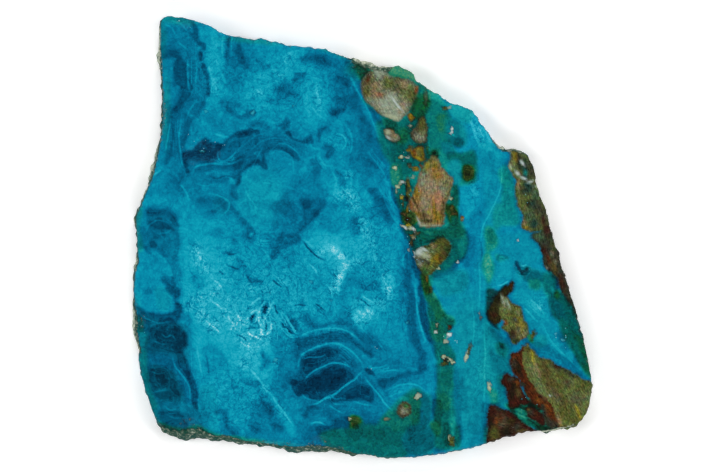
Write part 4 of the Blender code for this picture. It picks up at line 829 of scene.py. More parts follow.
# Where the stone turns green or brown with a clear outline: hue, softness of the edge, outline.
HUE_PATCHES = [
    # the green belt
    (0.95, 2.5, "364,98 372,108 380,117 385,128 387,140 389,150 391,160 392,172 393,184 396,196 399,206 "
     "403,216 405,230 409,240 413,252 418,262 422,272 425,284 426,298 427,308 429,318 431,328 434,340 "
     "436,352 436,366 437,380 437,394 436,406 434,418 431,430 434,446 445,450 458,448 460,436 458,424 "
     "456,410 452,396 452,380 454,366 455,356 452,348 446,340 451,330 453,322 450,316 442,308 436,298 "
     "432,290 436,280 446,274 456,264 464,256 468,244 466,232 460,222 459,208 459,196 458,186 464,186 "
     "474,184 478,174 477,160 473,150 466,150 458,152 454,144 456,130 452,118 448,106 440,98 430,94 "
     "420,90"),
    (1.6, 2.5, "396,128 406,128 410,138 404,144 396,142"),
    (1.2, 2, "384,118 396,120 400,128 390,130 384,126"),
    (1.6, 2.5, "411,96 430,95 430,106 424,118 416,120 410,114"),
    (1.4, 2, "437,116 446,115 450,124 446,132 438,130"),
    (1.4, 1.6, "429,150 437,149 440,158 434,161 429,158"),
    (1.3, 2, "390,164 399,164 402,176 398,186 392,184"),
    (2.4, 2, "402,212 412,211 418,219 412,225 403,224"),
    (1.2, 2, "450,186 458,184 460,200 457,206 450,202"),
    (2.3, 2, "445,204 453,205 459,214 459,224 450,224 446,214"),
    (1.6, 1.4, "456,139 462,139 464,143 459,146 455,143"),
    (2.5, 1.6, "462,167 468,165 474,168 474,178 469,182 463,179"),
    (2.4, 2, "350,417 356,415 362,420 362,427 356,430 350,428"),
    (0.5, 2.5, "449,162 457,160 461,168 462,178 458,184 451,182 447,172"),
    (0.5, 3, "448,102 462,105 474,112 470,122 458,120 450,112"),
    (0.6, 3, "440,142 452,144 454,152 444,154"),
    (0.4, 3, "434,274 448,270 462,270 470,276 466,290 450,296 438,292"),
    (1.5, 2, "424,290 431,290 436,298 441,302 442,310 438,316 430,306 425,300"),
    (2.2, 1.6, "420,275 427,276 430,284 430,294 425,295 421,286"),
    (1.6, 1.6, "437,311 444,310 447,317 442,322 436,318"),
    (1.2, 2, "444,316 452,317 455,324 448,328 442,322"),
    (1.3, 2, "430,322 440,324 446,334 440,342 432,336"),
    (1.05, 2, "438,370 450,370 452,388 444,392 438,384"),
    (1.3, 2, "440,394 448,394 450,408 442,410 438,402"),
    (1.5, 1.8, "430,422 438,421 441,430 436,437 431,432"),
    # the belt's foot
    (0.9, 3, "320,436 340,428 352,428 366,424 376,424 386,412 400,398 414,388 424,394 420,410 420,424 "
     "410,430 404,440 408,456 380,460 340,456"),
    (0.5, 2, "421,394 432,396 432,414 428,430 420,430 422,414"),
    (1.3, 2, "408,397 418,397 421,406 418,420 412,426 408,418 411,408"),
    (1.1, 2.5, "386,412 394,410 398,418 410,420 408,428 396,432 386,426 380,420"),
    (0.55, 3, "408,428 418,424 430,428 434,440 432,452 414,456 404,446"),
    # the right side
    (0.15, 5, "478,140 500,150 504,170 503,190 502,230 528,232 540,242 544,262 530,270 550,292 556,320 "
     "570,350 584,374 560,362 536,350 524,336 524,312 510,296 512,282 496,284 490,300 480,300 476,270 "
     "482,240 484,200 480,170"),
    (0.45, 4, "484,318 496,330 510,346 512,372 500,376 508,404 490,404 480,380 482,340"),
    (0.7, 3, "502,188 510,190 514,198 518,210 520,222 512,226 500,222 500,206"),
    (0.75, 2.5, "503,164 509,168 513,180 513,192 507,188 503,178"),
    (1.1, 2.5, "484,228 494,228 498,238 494,250 486,252"),
    (1.2, 2.5, "484,256 490,254 493,264 492,278 487,284 483,270"),
    (0.65, 1.6, "496,254 503,254 509,258 503,260 497,260"),
    (0.6, 1.2, "519,269 523,269 527,267 530,268 528,273 524,276 520,274"),
    (0.5, 2.5, "522,270 532,269 541,272 546,277 542,282 534,281 527,283 520,276"),
    (1, 2, "528,280 539,280 541,286 535,290 529,287"),
    (0.9, 3, "548,296 560,290 568,296 574,300 582,318 592,350 592,372 586,369 580,358 572,346 566,332 "
     "558,322 551,314"),
    (1.5, 2.5, "574,338 582,338 592,356 592,370 584,366 576,350"),
    (1.8, 1.4, "555,290 559,291 560,297 556,299 554,295"),
    (0.75, 2, "487,288 492,288 498,291 504,286 508,284 506,290 500,296 497,304 495,314 497,323 500,330 "
     "494,326 489,320 486,314 485,308"),
    (2.4, 1.2, "500,342 504,344 504,349 501,348"), (0.8, 2, "496,344 503,343 508,350 506,358 499,354"),
    (0.45, 2.5, "533,336 544,335 548,343 541,348 533,344"), (1.7, 1.3, "526,335 532,335 533,341 529,342"),
    (1.1, 2, "488,388 496,392 498,402 490,402"), (0.75, 2.5, "496,376 504,374 512,378 508,386 500,388"),
    (1.7, 2, "523,380 529,384 531,392 526,395"),
    (1.3, 2.5, "506,402 530,398 544,406 548,420 560,426 560,436 530,428 512,416"),
    (1.6, 2, "536,425 546,428 558,429 556,434 540,434"), (0.8, 2, "484,428 490,428 490,446 484,447"),
    # the lobes down the left side and the light field beside them
    (0.6, 2, "134,208 142,208 142,230 143,250 134,250"),
    (0.04, 3, "142,216 176,218 182,240 176,262 160,250 144,246"),
    (0.15, 2.5, "156,288 170,290 170,308 158,310"),
    (0.15, 4, "136,310 160,320 186,326 190,350 186,366 170,356 142,350"),
    (0.8, 1.6, "134,316 142,318 143,332 136,334"), (0.45, 2, "138,334 147,334 147,345 140,346"),
    (0.65, 2.5, "134,346 145,350 148,370 153,392 160,414 158,424 140,400 132,366"),
    (0.22, 4, "150,366 172,370 182,388 184,404 160,404 152,388"),
    (0.12, 4, "160,404 200,404 204,430 176,428 160,420"),
    (1.1, 1.5, "156,420 166,424 176,427 186,427 196,425 206,429 215,433 230,435 246,439 262,441 262,444 "
     "240,443 214,438 186,432 164,429 156,425"),
    (0.1, 3, "200,386 216,390 218,430 206,426 200,404"), (0.08, 2, "214,198 230,198 228,212 214,212"),
    (1.6, 2, "382,64 392,62 400,62 410,67 416,76 415,83 408,79 400,78 392,76 385,73"),
    (1.4, 2, "355,62 366,67 370,71 366,75 362,81 358,76"),
    (1.8, 2, "414,100 422,98 430,102 428,110 418,112 412,108"),
    (1.5, 2, "436,116 447,116 448,128 438,130"), (1.3, 2.4, "391,172 399,170 400,184 393,186"),
    (1.25, 3, "414,228 444,230 452,216 462,220 464,236 440,240 416,238"),
    (1.55, 2.4, "572,332 582,340 590,352 595,378 588,376 578,360 571,346"),
    (0.78, 2.2, "542,276 547,271 554,272 557,280 556,290 551,297 545,294 541,286"),
    (0.65, 3, "548,298 556,300 562,308 566,318 560,320 553,312 548,304"),
    (0.85, 2.5, "500,168 507,172 508,186 503,188 499,178"),
    (0.7, 3, "494,206 502,204 503,222 497,230 492,222"),
    (1, 3, "560,318 572,328 578,344 586,362 579,364 571,350 562,336"),
    (0.85, 3, "376,122 386,126 392,142 394,160 388,162 380,146"),
    (0.6, 4, "446,118 462,122 468,140 458,146 446,134"),
]


# How the map is drawn: the softness of each kind of mark, in map units.
HALF = math.log(2)  # a mark is at half strength at its edge
CLOUD_FALL = 2.6  # higher is crisper
BAND_FALL = 2.2
HUE_FALL = 3
STAIN_FALL = 3
SOFT_FALL = 2.4
LINE_TAPER = 0.25  # share of a line's length over which it fades in and out
BAND_END = 0.45  # share of its width that a band keeps at its ends
BAND_END_PLACE = 0.04  # share of a band's length that counts as its end
BAND_SWELL = 0.4  # how much a band's width varies
FADING = 0.35  # how much bands and patches fade in places
BAND_FLOW = 0.5  # how far the fine bands follow a band
PATCH_FLOW = 0.7  # how far they follow a patch
BAND_REACH = 3.2  # how many half widths from a band its tone is felt
FLOW_WIDTH = 1.6  # how much wider than a band the fine bands bend round it
ELLIPSE_REACH = 2.2  # how many of its own reaches from its place a mark is felt
LINE_SPREAD = 4.0  # how many half widths from a line its distance is kept
ROCK_SPREAD = 4.0  # how far outside a fragment the distance from its edge is kept
DRIFT_PER_MM = 2.0  # how far the pattern wanders for each millimetre down into the stone
DRIFT_SIZE = 90
CLOUD_STRENGTH = 0.9
BAND_STRENGTH = 0.88
STAIN_STRENGTH = 0.9
PATCH_STRENGTH = 0.9
GRAIN_SHINE = 1.25  # small grains are clean and catch more light than the big fragments
PATH_STEPS = 5
NOISE_LATTICE = 128
NOISE_START = (41.3, 17.7)  # the lattice point under the map's corner
LAYERS_HEIGHT = 1.4

# The seeds of the random wandering. Across the map takes the seed, and down it SEED_STEP more.
SEED_STEP = 20
CLOUD_SEED = 3
BAND_SEED = 43
HUE_SEED = 83
LINE_SEED = 123
SOFT_SEED = 163
FRAGMENT_SEED = 203
DRIFT_SEED = 243
SWELL_SEED = 283
FADING_SEED = 303
GRAIN_SEED = 323


def lattice_noise(x, y, size, seed):
    """Smooth random heights from -1 to 1, with lumps of about this size in map units."""
    heights = np.random.RandomState(seed).uniform(-1, 1, (NOISE_LATTICE, NOISE_LATTICE))
    u, v = x / size + NOISE_START[0], y / size + NOISE_START[1]
    column, row = np.floor(u).astype(int), np.floor(v).astype(int)
    s, t = u - column, v - row
    s, t = s * s * (3 - 2 * s), t * t * (3 - 2 * t)

    def corner(i, j):
        return heights[(row + j) % NOISE_LATTICE, (column + i) % NOISE_LATTICE]

    upper = corner(0, 0) * (1 - s) + corner(1, 0) * s
    lower = corner(0, 1) * (1 - s) + corner(1, 1) * s
    return upper * (1 - t) + lower * t


def rough_noise(x, y, size, seed, layers=3):
    """Lattice noise with finer layers on it, each half the size and half the height."""
    sizes = [size / 2**layer for layer in range(layers)]
    return sum(lattice_noise(x, y, lump, seed + n) / 2**n for n, lump in enumerate(sizes)) / LAYERS_HEIGHT


def wandering(x, y, depth, size, seed, layers=3):
    """The places moved by up to about a depth, in lumps of a size."""
    return (
        x + depth * rough_noise(x, y, size, seed, layers),
        y + depth * rough_noise(x, y, size, seed + SEED_STEP, layers),
    )


def curved(path, closed=False):
    """The path, written as "x,y x,y" and so on, as a smooth curve through its points."""
    points = np.array([point.split(",") for point in path.split()], float)
    if closed:
        points = np.vstack([points[-1:], points, points[:2]])
    else:
        points = np.vstack([2 * points[0] - points[1], points, 2 * points[-1] - points[-2]])
    before, start, end, after = points[:-3], points[1:-2], points[2:-1], points[3:]
    steps = np.arange(PATH_STEPS)[:, None, None] / PATH_STEPS
    curve = start + 0.5 * steps * (
        (end - before)
        + steps * ((2 * before - 5 * start + 4 * end - after) + steps * (3 * (start - end) + after - before))
    )
    curve = curve.transpose(1, 0, 2).reshape(-1, 2)
    return curve if closed else np.vstack([curve, points[-2]])


def near(x, y, points, margin):
    """Which places lie within a margin of the box round some points."""
    low, high = points.min(0) - margin, points.max(0) + margin
    return np.flatnonzero((x > low[0]) & (x < high[0]) & (y > low[1]) & (y < high[1]))


def along_path(x, y, curve):
    """For each place: its distance from the curve, the side it lies on, and how far along it is, 0 to 1."""
    best = np.full(x.shape, np.inf)
    side = np.ones(x.shape)
    place = np.zeros(x.shape)
    count = len(curve) - 1
    for n, (start, end) in enumerate(zip(curve[:-1], curve[1:])):
        run = end - start
        length = max(run @ run, 1e-9)
        dx, dy = x - start[0], y - start[1]
        share = np.clip((dx * run[0] + dy * run[1]) / length, 0, 1)
        gap = np.hypot(dx - share * run[0], dy - share * run[1])
        closer = gap < best
        best = np.where(closer, gap, best)
        side = np.where(closer, np.where(run[0] * dy - run[1] * dx < 0, -1.0, 1.0), side)
        place = np.where(closer, (n + share) / count, place)
    return best, side, place


def ellipse(x, y, mark):
    """For each place near the ellipse: which ones, and how far out they are, 1 at its edge."""
    centre_x, centre_y, reach_x, reach_y, turn = mark
    here = near(x, y, np.array([[centre_x, centre_y]]), ELLIPSE_REACH * max(reach_x, reach_y))
    c, s = math.cos(math.radians(turn)), math.sin(math.radians(turn))
    dx, dy = x[here] - centre_x, y[here] - centre_y
    return here, np.hypot((dx * c + dy * s) / reach_x, (dy * c - dx * s) / reach_y)


def inside(x, y, outline):
    """Whether each place lies in a closed outline."""
    odd = np.zeros(x.shape, bool)
    for (ax, ay), (bx, by) in zip(outline, np.roll(outline, -1, 0)):
        crosses = (ay > y) != (by > y)
        slope = (bx - ax) / (by - ay) if by != ay else 0.0
        odd ^= crosses & (x < ax + slope * (y - ay))
    return odd


def signed_gap(x, y, outline, margin):
    """Which places lie in or near a closed outline, and how far outside it they are, less than 0 inside."""
    curve = curved(outline, closed=True)
    here = near(x, y, curve, margin)
    gap, _, _ = along_path(x[here], y[here], np.vstack([curve, curve[:1]]))
    return here, np.where(inside(x[here], y[here], curve), -gap, gap)


def patch_cover(x, y, outline, softness):
    """Which places a soft-edged patch reaches, and how strongly it covers them."""
    here, gap = signed_gap(x, y, outline, softness)
    cover = np.clip(0.5 - gap / (2 * softness), 0, 1)
    return here, cover * cover * (3 - 2 * cover)


def draw_tones(x, y):
    """The tone of the blue and green stone at each place, and the smoother tone its fine bands follow."""
    wobble_x, wobble_y = wandering(x, y, depth=2.6, size=15, seed=CLOUD_SEED)
    tone = np.full(x.shape, float(BASE_TONE))
    for *mark, target in CLOUDS:
        here, out = ellipse(wobble_x, wobble_y, mark)
        tone[here] += (target - tone[here]) * CLOUD_STRENGTH * np.exp(-HALF * out**CLOUD_FALL)
    flow = tone.copy()
    fine_x, fine_y = wandering(x, y, depth=1.6, size=9, seed=BAND_SEED)
    swell = 1 + BAND_SWELL * lattice_noise(x, y, 11, SWELL_SEED)
    fading = np.clip(1 + FADING * lattice_noise(x, y, 8, FADING_SEED), 0, 1)
    for target, width, path in BANDS + RIGHT_BANDS:
        curve = curved(path)
        here = near(fine_x, fine_y, curve, BAND_REACH * width)
        gap, _, place = along_path(fine_x[here], fine_y[here], curve)
        middle = np.sin(np.pi * np.clip(place, BAND_END_PLACE, 1 - BAND_END_PLACE)) ** 0.5
        reach = width * swell[here] * (BAND_END + (1 - BAND_END) * middle)
        cover = BAND_STRENGTH * fading[here] * np.exp(-HALF * (gap / reach) ** BAND_FALL)
        tone[here] += (target - tone[here]) * cover
        flow[here] += (target - flow[here]) * BAND_FLOW * np.exp(-HALF * (gap / reach / FLOW_WIDTH) ** 2)
    for target, softness, outline in PATCHES:
        here, cover = patch_cover(fine_x, fine_y, outline, softness)
        cover *= PATCH_STRENGTH * fading[here] ** 0.5
        tone[here] += (target - tone[here]) * cover
        flow[here] += (target - flow[here]) * PATCH_FLOW * cover
    return tone, flow


def draw_hues(x, y):
    """How green the stone is at each place."""
    wobble_x, wobble_y = wandering(x, y, depth=2.0, size=12, seed=HUE_SEED)
    hue = np.full(x.shape, float(BASE_HUE))
    for *mark, target in HUES:
        here, out = ellipse(wobble_x, wobble_y, mark)
        hue[here] += (target - hue[here]) * np.exp(-HALF * out**HUE_FALL)
    for target, softness, outline in HUE_PATCHES:
        here, cover = patch_cover(wobble_x, wobble_y, outline, softness)
        hue[here] += (target - hue[here]) * cover
    return hue


def draw_lines(x, y):
    """The nearest thin line at each place: its distance in half widths, signed and not, and its tone."""
    x = x + 0.7 * rough_noise(x, y, 9, LINE_SEED)
    y = y + 0.7 * rough_noise(x, y, 9, LINE_SEED + SEED_STEP)
    nearest = np.full(x.shape, np.inf)
    signed = np.full(x.shape, LINE_SPREAD)
    change = np.zeros(x.shape)
    for amount, width, path in LINES:
        curve = curved(path)
        here = near(x, y, curve, width + LINE_SPREAD)
        gap, side, place = along_path(x[here], y[here], curve)
        gap /= width
        fade = np.clip(np.minimum(place, 1 - place) / LINE_TAPER, 0.0, 1) ** 0.5
        closer = gap < nearest[here]
        spot = here[closer]
        nearest[spot] = gap[closer]
        signed[spot] = (gap * side)[closer]
        change[spot] = (amount * fade)[closer]
    return np.clip(signed, -LINE_SPREAD, LINE_SPREAD), np.minimum(nearest, LINE_SPREAD), change


def draw_clouded(x, y, marks):
    """How strongly soft marks, such as frost or glitter, cover each place."""
    wobble_x, wobble_y = wandering(x, y, depth=2.0, size=7, seed=SOFT_SEED)
    cover = np.zeros(x.shape)
    for *mark, amount in marks:
        here, out = ellipse(wobble_x, wobble_y, mark)
        cover[here] = np.maximum(cover[here], amount * np.exp(-HALF * out**SOFT_FALL))
    return cover


def draw_fragments(x, y, colours):
    """The broken rock: how far outside its edge, less than 0 inside, its colour and its grain's direction."""
    edge = np.full(x.shape, ROCK_SPREAD)
    paint = np.zeros(x.shape + (3,))
    turn = np.zeros(x.shape)
    rough_x, rough_y = wandering(x, y, depth=1.0, size=5, seed=FRAGMENT_SEED)
    for name, grain, outline in FRAGMENTS:
        here, gap = signed_gap(rough_x, rough_y, outline, ROCK_SPREAD)
        nearer = gap < np.maximum(edge[here], 0.0) + 1e-6
        spot = here[nearer]
        paint[spot] = colours[name]
        turn[spot] = grain
        edge[here] = np.minimum(edge[here], gap)
    for name, *mark in STAINS:
        here, out = ellipse(rough_x, rough_y, mark)
        cover = STAIN_STRENGTH * np.exp(-HALF * out**STAIN_FALL)[:, None]
        paint[here] += (np.array(colours[name]) - paint[here]) * cover
    crumbled_x, crumbled_y = wandering(x, y, depth=1.5, size=2.6, seed=GRAIN_SEED, layers=2)
    for name, *mark in GRAINS:
        here, out = ellipse(crumbled_x, crumbled_y, mark)
        gap = (out - 1) * min(mark[2], mark[3])
        nearer = gap < np.minimum(edge[here], 1.0)
        spot = here[nearer]
        paint[spot] = GRAIN_SHINE * np.array(colours[name])
        edge[spot] = gap[nearer]
    return edge, paint, turn


# ---------------------------------------------------------------------------------------------
# Colours
# ---------------------------------------------------------------------------------------------
def linear(hex_colour):
    """An sRGB hex colour as linear red, green and blue."""
    shares = [int(hex_colour[at : at + 2], 16) / 255 for at in (1, 3, 5)]
    return tuple(s / 12.92 if s <= 0.04045 else ((s + 0.055) / 1.055) ** 2.4 for s in shares)


def colour(name, hex_colour, description):
    """A colour that a user can change."""
    return FloatVectorProperty(
        name=name,
        description=description,
        subtype="COLOR",
        size=3,
        min=0.0,
        max=1.0,
        default=linear(hex_colour),
    )


# The stone's colours from dark to light: the tone that each belongs to, and its property's name.
BLUE_TONES = [
    (20, "ink_blue"),
    (44, "navy"),
    (62, "deep_blue"),
    (78, "lake_blue"),
    (98, "sea_blue"),
    (117, "bright_cyan"),
    (140, "pale_cyan"),
    (164, "milky_cyan"),
    (200, "frost_white"),
]
TEAL_TONES = [
    (20, "black_green"),
    (45, "bottle_green"),
    (70, "deep_teal"),
    (95, "teal"),
    (120, "bright_teal"),
    (150, "pale_teal"),
    (200, "frost_white"),
]
LEAF_TONES = [
    (20, "black_green"),
    (45, "dark_moss"),
    (70, "moss_green"),
    (95, "malachite"),
    (130, "pale_moss"),
    (200, "frost_white"),
]
EARTH_TONES = [
    (20, "black_brown"),
    (48, "dark_brown"),
    (72, "brown"),
    (100, "tan"),
    (150, "cream"),
    (200, "frost_white"),
]


class SlabColours(bpy.types.PropertyGroup):
    """The colours of the stone."""

    ink_blue: colour("Ink blue", "#02182C", "The darkest agate bands")
    navy: colour("Navy", "#023754", "Dark agate bands")
    deep_blue: colour("Deep blue", "#025171", "Deep blue silica")
    lake_blue: colour("Lake blue", "#036588", "Blue silica between the bands")
    sea_blue: colour("Sea blue", "#0481A1", "The ordinary blue of the stone")
    bright_cyan: colour("Bright cyan", "#099CB4", "Pure, bright chrysocolla")
    pale_cyan: colour("Pale cyan", "#2AADC3", "Cloudy chrysocolla")
    milky_cyan: colour("Milky cyan", "#4CC0D2", "Milky healed fractures")
    frost_white: colour("Frost white", "#BFE4E8", "White threads of quartz")
    black_green: colour("Black green", "#0B1913", "The darkest green stone")
    bottle_green: colour("Bottle green", "#053C34", "Dark green-teal stone")
    deep_teal: colour("Deep teal", "#04615D", "Green-teal stone")
    teal: colour("Teal", "#098178", "Ordinary teal")
    bright_teal: colour("Bright teal", "#17A092", "Bright turquoise green")
    pale_teal: colour("Pale teal", "#55B3A1", "Cloudy turquoise green")
    dark_moss: colour("Dark moss", "#123617", "Dark leaf green")
    moss_green: colour("Moss green", "#0D5F2E", "Leaf green malachite")
    malachite: colour("Malachite", "#297742", "Bright malachite")
    pale_moss: colour("Pale moss", "#6B9865", "Pale green stone")
    quartz_grey: colour("Quartz grey", "#838B72", "Grey quartz")
    pale_grey: colour("Pale grey", "#9FAE98", "Pale quartz")
    pink_brown: colour("Pink brown", "#5A5840", "Pinkish brown rock")
    pink_grey: colour("Pink grey", "#928A6E", "Pinkish grey rock")
    cream: colour("Cream", "#B9C6A2", "Cream quartz")
    ochre: colour("Ochre", "#8A7018", "Yellow-brown iron stain")
    gold: colour("Gold", "#A59A28", "Golden grains")
    tan: colour("Tan", "#94805A", "Tan rock")
    olive: colour("Olive", "#555B28", "Olive-brown rock")
    moss_rock: colour("Moss rock", "#66703A", "Fibrous green-brown rock")
    sage: colour("Sage", "#6C7B4F", "Pale green rock")
    grey_green: colour("Grey green", "#415E43", "Grey-green rock")
    dark_earth: colour("Dark earth", "#34382B", "Dark rock of the rim")
    leaf_green: colour("Leaf green", "#2A6A35", "Green stain on the rock")
    red_brown: colour("Red brown", "#50260E", "Red-brown iron-rich rock")
    rust: colour("Rust", "#8A4F1A", "Rust")
    dark_brown: colour("Dark brown", "#2F2C12", "Dark brown rock")
    brown: colour("Brown", "#554B26", "Brown rock")
    maroon: colour("Maroon", "#3C1A10", "Maroon rock")
    black_brown: colour("Black brown", "#1C1A0E", "Nearly black rock")
    dark_teal: colour("Dark teal", "#083432", "Dark teal filling")
    dark_green: colour("Dark green", "#0D381F", "Dark green filling")
    salmon: colour("Salmon", "#B0805F", "Salmon feldspar")
    white: colour("White", "#CEE0DC", "White quartz grains")
    crust_grey: colour("Crust grey", "#4C6354", "The weathered rock of the broken sides")
    crust_cream: colour("Crust cream", "#CCD4BE", "Pale grains on the broken sides")
    crust_green: colour("Crust green", "#1C4A3C", "Green stain on the broken sides")


class SlabSizes(bpy.types.PropertyGroup):
    """The sizes of the stone's fine shape and grain."""

    spacing: FloatProperty(
        name="Point spacing",
        description="Distance between the points of the polished face",
        default=0.39 * MM,
        min=0.2 * MM,
        unit="LENGTH",
    )
    back_share: FloatProperty(
        name="Back detail",
        description="Share of the faces kept on the sawn back",
        default=0.12,
        min=0.02,
        max=1.0,
        subtype="FACTOR",
    )
    facet: FloatProperty(
        name="Facet size",
        description="Size of the flat breaks on the rough sides",
        default=2.4 * MM,
        min=0.2 * MM,
        unit="LENGTH",
    )
    facet_depth: FloatProperty(
        name="Facet depth",
        description="How deep the flat breaks are",
        default=0.9 * MM,
        min=0.0,
        unit="LENGTH",
    )
    grit: FloatProperty(
        name="Grit size",
        description="Size of the small lumps on the rough sides",
        default=0.8 * MM,
        min=0.1 * MM,
        unit="LENGTH",
    )
    grit_depth: FloatProperty(
        name="Grit depth",
        description="How deep the small lumps are",
        default=0.3 * MM,
        min=0.0,
        unit="LENGTH",
    )


class StageSettings(bpy.types.PropertyGroup):
    """The floor, the light and the camera."""

    view_width: FloatProperty(
        name="View width",
        description="Width of what the camera sees at the polished face",
        default=PICTURE_WIDTH * MAP_UNIT_MM * MM,
        unit="LENGTH",
    )
    lens: FloatProperty(
        name="Lens",
        description="Focal length in millimetres, long so that the face looks flat",
        default=300.0,
        min=20.0,
    )
    floor_reach: FloatProperty(
        name="Floor reach", description="Half the width of the floor", default=6.0, unit="LENGTH"
    )
    softbox_power: FloatProperty(
        name="Softbox power", description="Power of each softbox, in watts", default=15.0, min=0.0
    )
    floor_colour: colour("Floor", "#F7F7F7", "The pale floor")


# ---------------------------------------------------------------------------------------------
# Meshes
# ---------------------------------------------------------------------------------------------
BACK_BAND_MM = 0.12  # points this close to the back belong to it
FACE_BAND_MM = 0.1
FACING_SHARPNESS = 30.0  # a point is on the face by its normal's height, times this,
FACING_LIMIT = 28.7  # less this, from 0 to 1
WELD_MM = 0.002
WEIGHT_STEPS = 20
CRUST_EVERYWHERE = 0.1  # every break is a little weathered
WALL_FADE_MM = 1.3  # depth below the face over which the breaks come in


def select_only(thing):
    """Selects one object and makes it active."""
    bpy.ops.object.select_all(action="DESELECT")
    thing.select_set(True)
    bpy.context.view_layer.objects.active = thing


def merged_copy(node_name, name):
    """A copy of a CAD node as an object of its own, with its loose triangles joined."""
    made = bpy.data.objects.new(name, bpy.data.objects[node_name].data.copy())
    made.data.name = name
    bpy.context.scene.collection.objects.link(made)
    select_only(made)
    bpy.ops.object.mode_set(mode="EDIT")
    bpy.ops.mesh.select_all(action="SELECT")
    bpy.ops.mesh.remove_doubles(threshold=WELD_MM * MM)
    bpy.ops.mesh.normals_make_consistent(inside=False)
    bpy.ops.object.mode_set(mode="OBJECT")
    return made


def places(mesh):
    """The mesh's points, in millimetres."""
    flat = np.empty(len(mesh.vertices) * 3, np.float32)
    mesh.vertices.foreach_get("co", flat)
    return flat.reshape(-1, 3).astype(float) / MM


def move_places(mesh, points):
    """Puts the mesh's points at these places, in millimetres."""
    mesh.vertices.foreach_set("co", (points * MM).astype(np.float32).ravel())
    mesh.update()


def on_map(points):
    """Where points in millimetres lie on the pattern's map."""
    return MAP_CENTRE[0] + points[:, 0] / MAP_UNIT_MM, MAP_CENTRE[1] - points[:, 1] / MAP_UNIT_MM


def weigh(thing, name, weights):
    """Adds a vertex group with a weight for each point."""
    group = thing.vertex_groups.new(name=name)
    steps = np.round(np.clip(weights, 0, 1) * WEIGHT_STEPS).astype(int)
    for step in np.unique(steps[steps > 0]):
        group.add(np.flatnonzero(steps == step).tolist(), step / WEIGHT_STEPS, "REPLACE")
    return group


def roughen(thing, name, texture_kind, size, depth, group):
    """Pushes the points of a group in and out along their normals, after a texture."""
    texture = bpy.data.textures.new(name, texture_kind)
    texture.noise_scale = size
    displace = thing.modifiers.new(name, "DISPLACE")
    displace.texture = texture
    displace.texture_coords = "LOCAL"
    displace.strength = depth
    displace.mid_level = 0.5
    displace.vertex_group = group.name
    select_only(thing)
    bpy.ops.object.modifier_apply(modifier=displace.name)


def thin_back(thing, share):
    """Leaves fewer faces on the sawn back, which is flat."""
    back = places(thing.data)[:, 2] < BACK_BAND_MM
    group = weigh(thing, "back", back.astype(float))
    decimate = thing.modifiers.new("thin_back", "DECIMATE")
    decimate.vertex_group = group.name
    faces = len(thing.data.polygons)
    decimate.ratio = 1 - back.sum() * (1 - share) / faces
    select_only(thing)
    bpy.ops.object.modifier_apply(modifier=decimate.name)


def fine_slab(sizes):
    """The slab as a fine mesh: the solid's own shape, remeshed, with its sides broken and its faces flat."""
    slab = merged_copy(SLAB, "polished_slab")
    slab.data.remesh_voxel_size = sizes.spacing
    slab.data.remesh_voxel_adaptivity = 0.0
    bpy.ops.object.voxel_remesh()
    depth = THICKNESS_MM - places(slab.data)[:, 2]
    broken = np.clip(depth / WALL_FADE_MM, 0, 1) * (depth < THICKNESS_MM - BACK_BAND_MM)
    broken *= 1 - draw_clouded(*on_map(places(slab.data)), POCKETS)
    group = weigh(slab, "broken", broken)
    roughen(slab, "facets", "VORONOI", sizes.facet, -sizes.facet_depth, group)
    roughen(slab, "grit", "CLOUDS", sizes.grit, sizes.grit_depth, group)
    points = places(slab.data)
    points[:, 2] = np.clip(points[:, 2], 0, THICKNESS_MM)
    move_places(slab.data, points)
    thin_back(slab, sizes.back_share)
    select_only(slab)
    bpy.ops.object.shade_smooth()
    slab.vertex_groups.clear()
    return slab


def store(mesh, name, values):
    """Keeps a number, a vector or a colour for each point, for the material to read."""
    if values.ndim == 1:
        made = mesh.attributes.new(name, "FLOAT", "POINT")
        made.data.foreach_set("value", values.astype(np.float32))
    else:
        made = mesh.attributes.new(name, "FLOAT_VECTOR", "POINT")
        made.data.foreach_set("vector", values.astype(np.float32).ravel())


def draw_pattern(mesh, colours):
    """Draws the whole pattern on the mesh's points."""
    points = places(mesh)
    depth = THICKNESS_MM - points[:, 2]
    x, y = on_map(points)
    x, y = (
        x + depth * DRIFT_PER_MM * lattice_noise(x, y, DRIFT_SIZE, DRIFT_SEED),
        y + depth * DRIFT_PER_MM * lattice_noise(x, y, DRIFT_SIZE, DRIFT_SEED + SEED_STEP),
    )
    palette = {name: tuple(getattr(colours, name)) for name in colours.__annotations__}
    edge, paint, turn = draw_fragments(x, y, palette)
    facing = np.array([vertex.normal.z for vertex in mesh.vertices])
    face = np.clip((FACE_BAND_MM * 2 - depth) / FACE_BAND_MM, 0, 1)
    face *= np.clip(facing * FACING_SHARPNESS - FACING_LIMIT, 0, 1)
    back = np.clip((BACK_BAND_MM * 2 - points[:, 2]) / BACK_BAND_MM, 0, 1)
    signed, nearest, change = draw_lines(x, y)
    tone, flow = draw_tones(x, y)
    store(mesh, "tone", tone)
    store(mesh, "band", flow)
    store(mesh, "hue", draw_hues(x, y))
    store(mesh, "line", np.stack([signed, nearest, change], 1))
    store(mesh, "rock", np.stack([edge, np.radians(turn), draw_clouded(x, y, FROST)], 1))
    store(mesh, "rock_colour", paint)
    # The finish keeps the face, the back, and how thickly the painted glints are strewn.
    store(mesh, "finish", np.stack([face, back, draw_clouded(x, y, GLITTER)], 1))
    crust = CRUST_EVERYWHERE * (1 - 2 * draw_clouded(*on_map(points), POCKETS))
    for amount, softness, outline in CRUST:
        here, cover = patch_cover(*on_map(points), outline, softness)
        crust[here] = np.maximum(crust[here], amount * cover)
    store(mesh, "crust", crust)


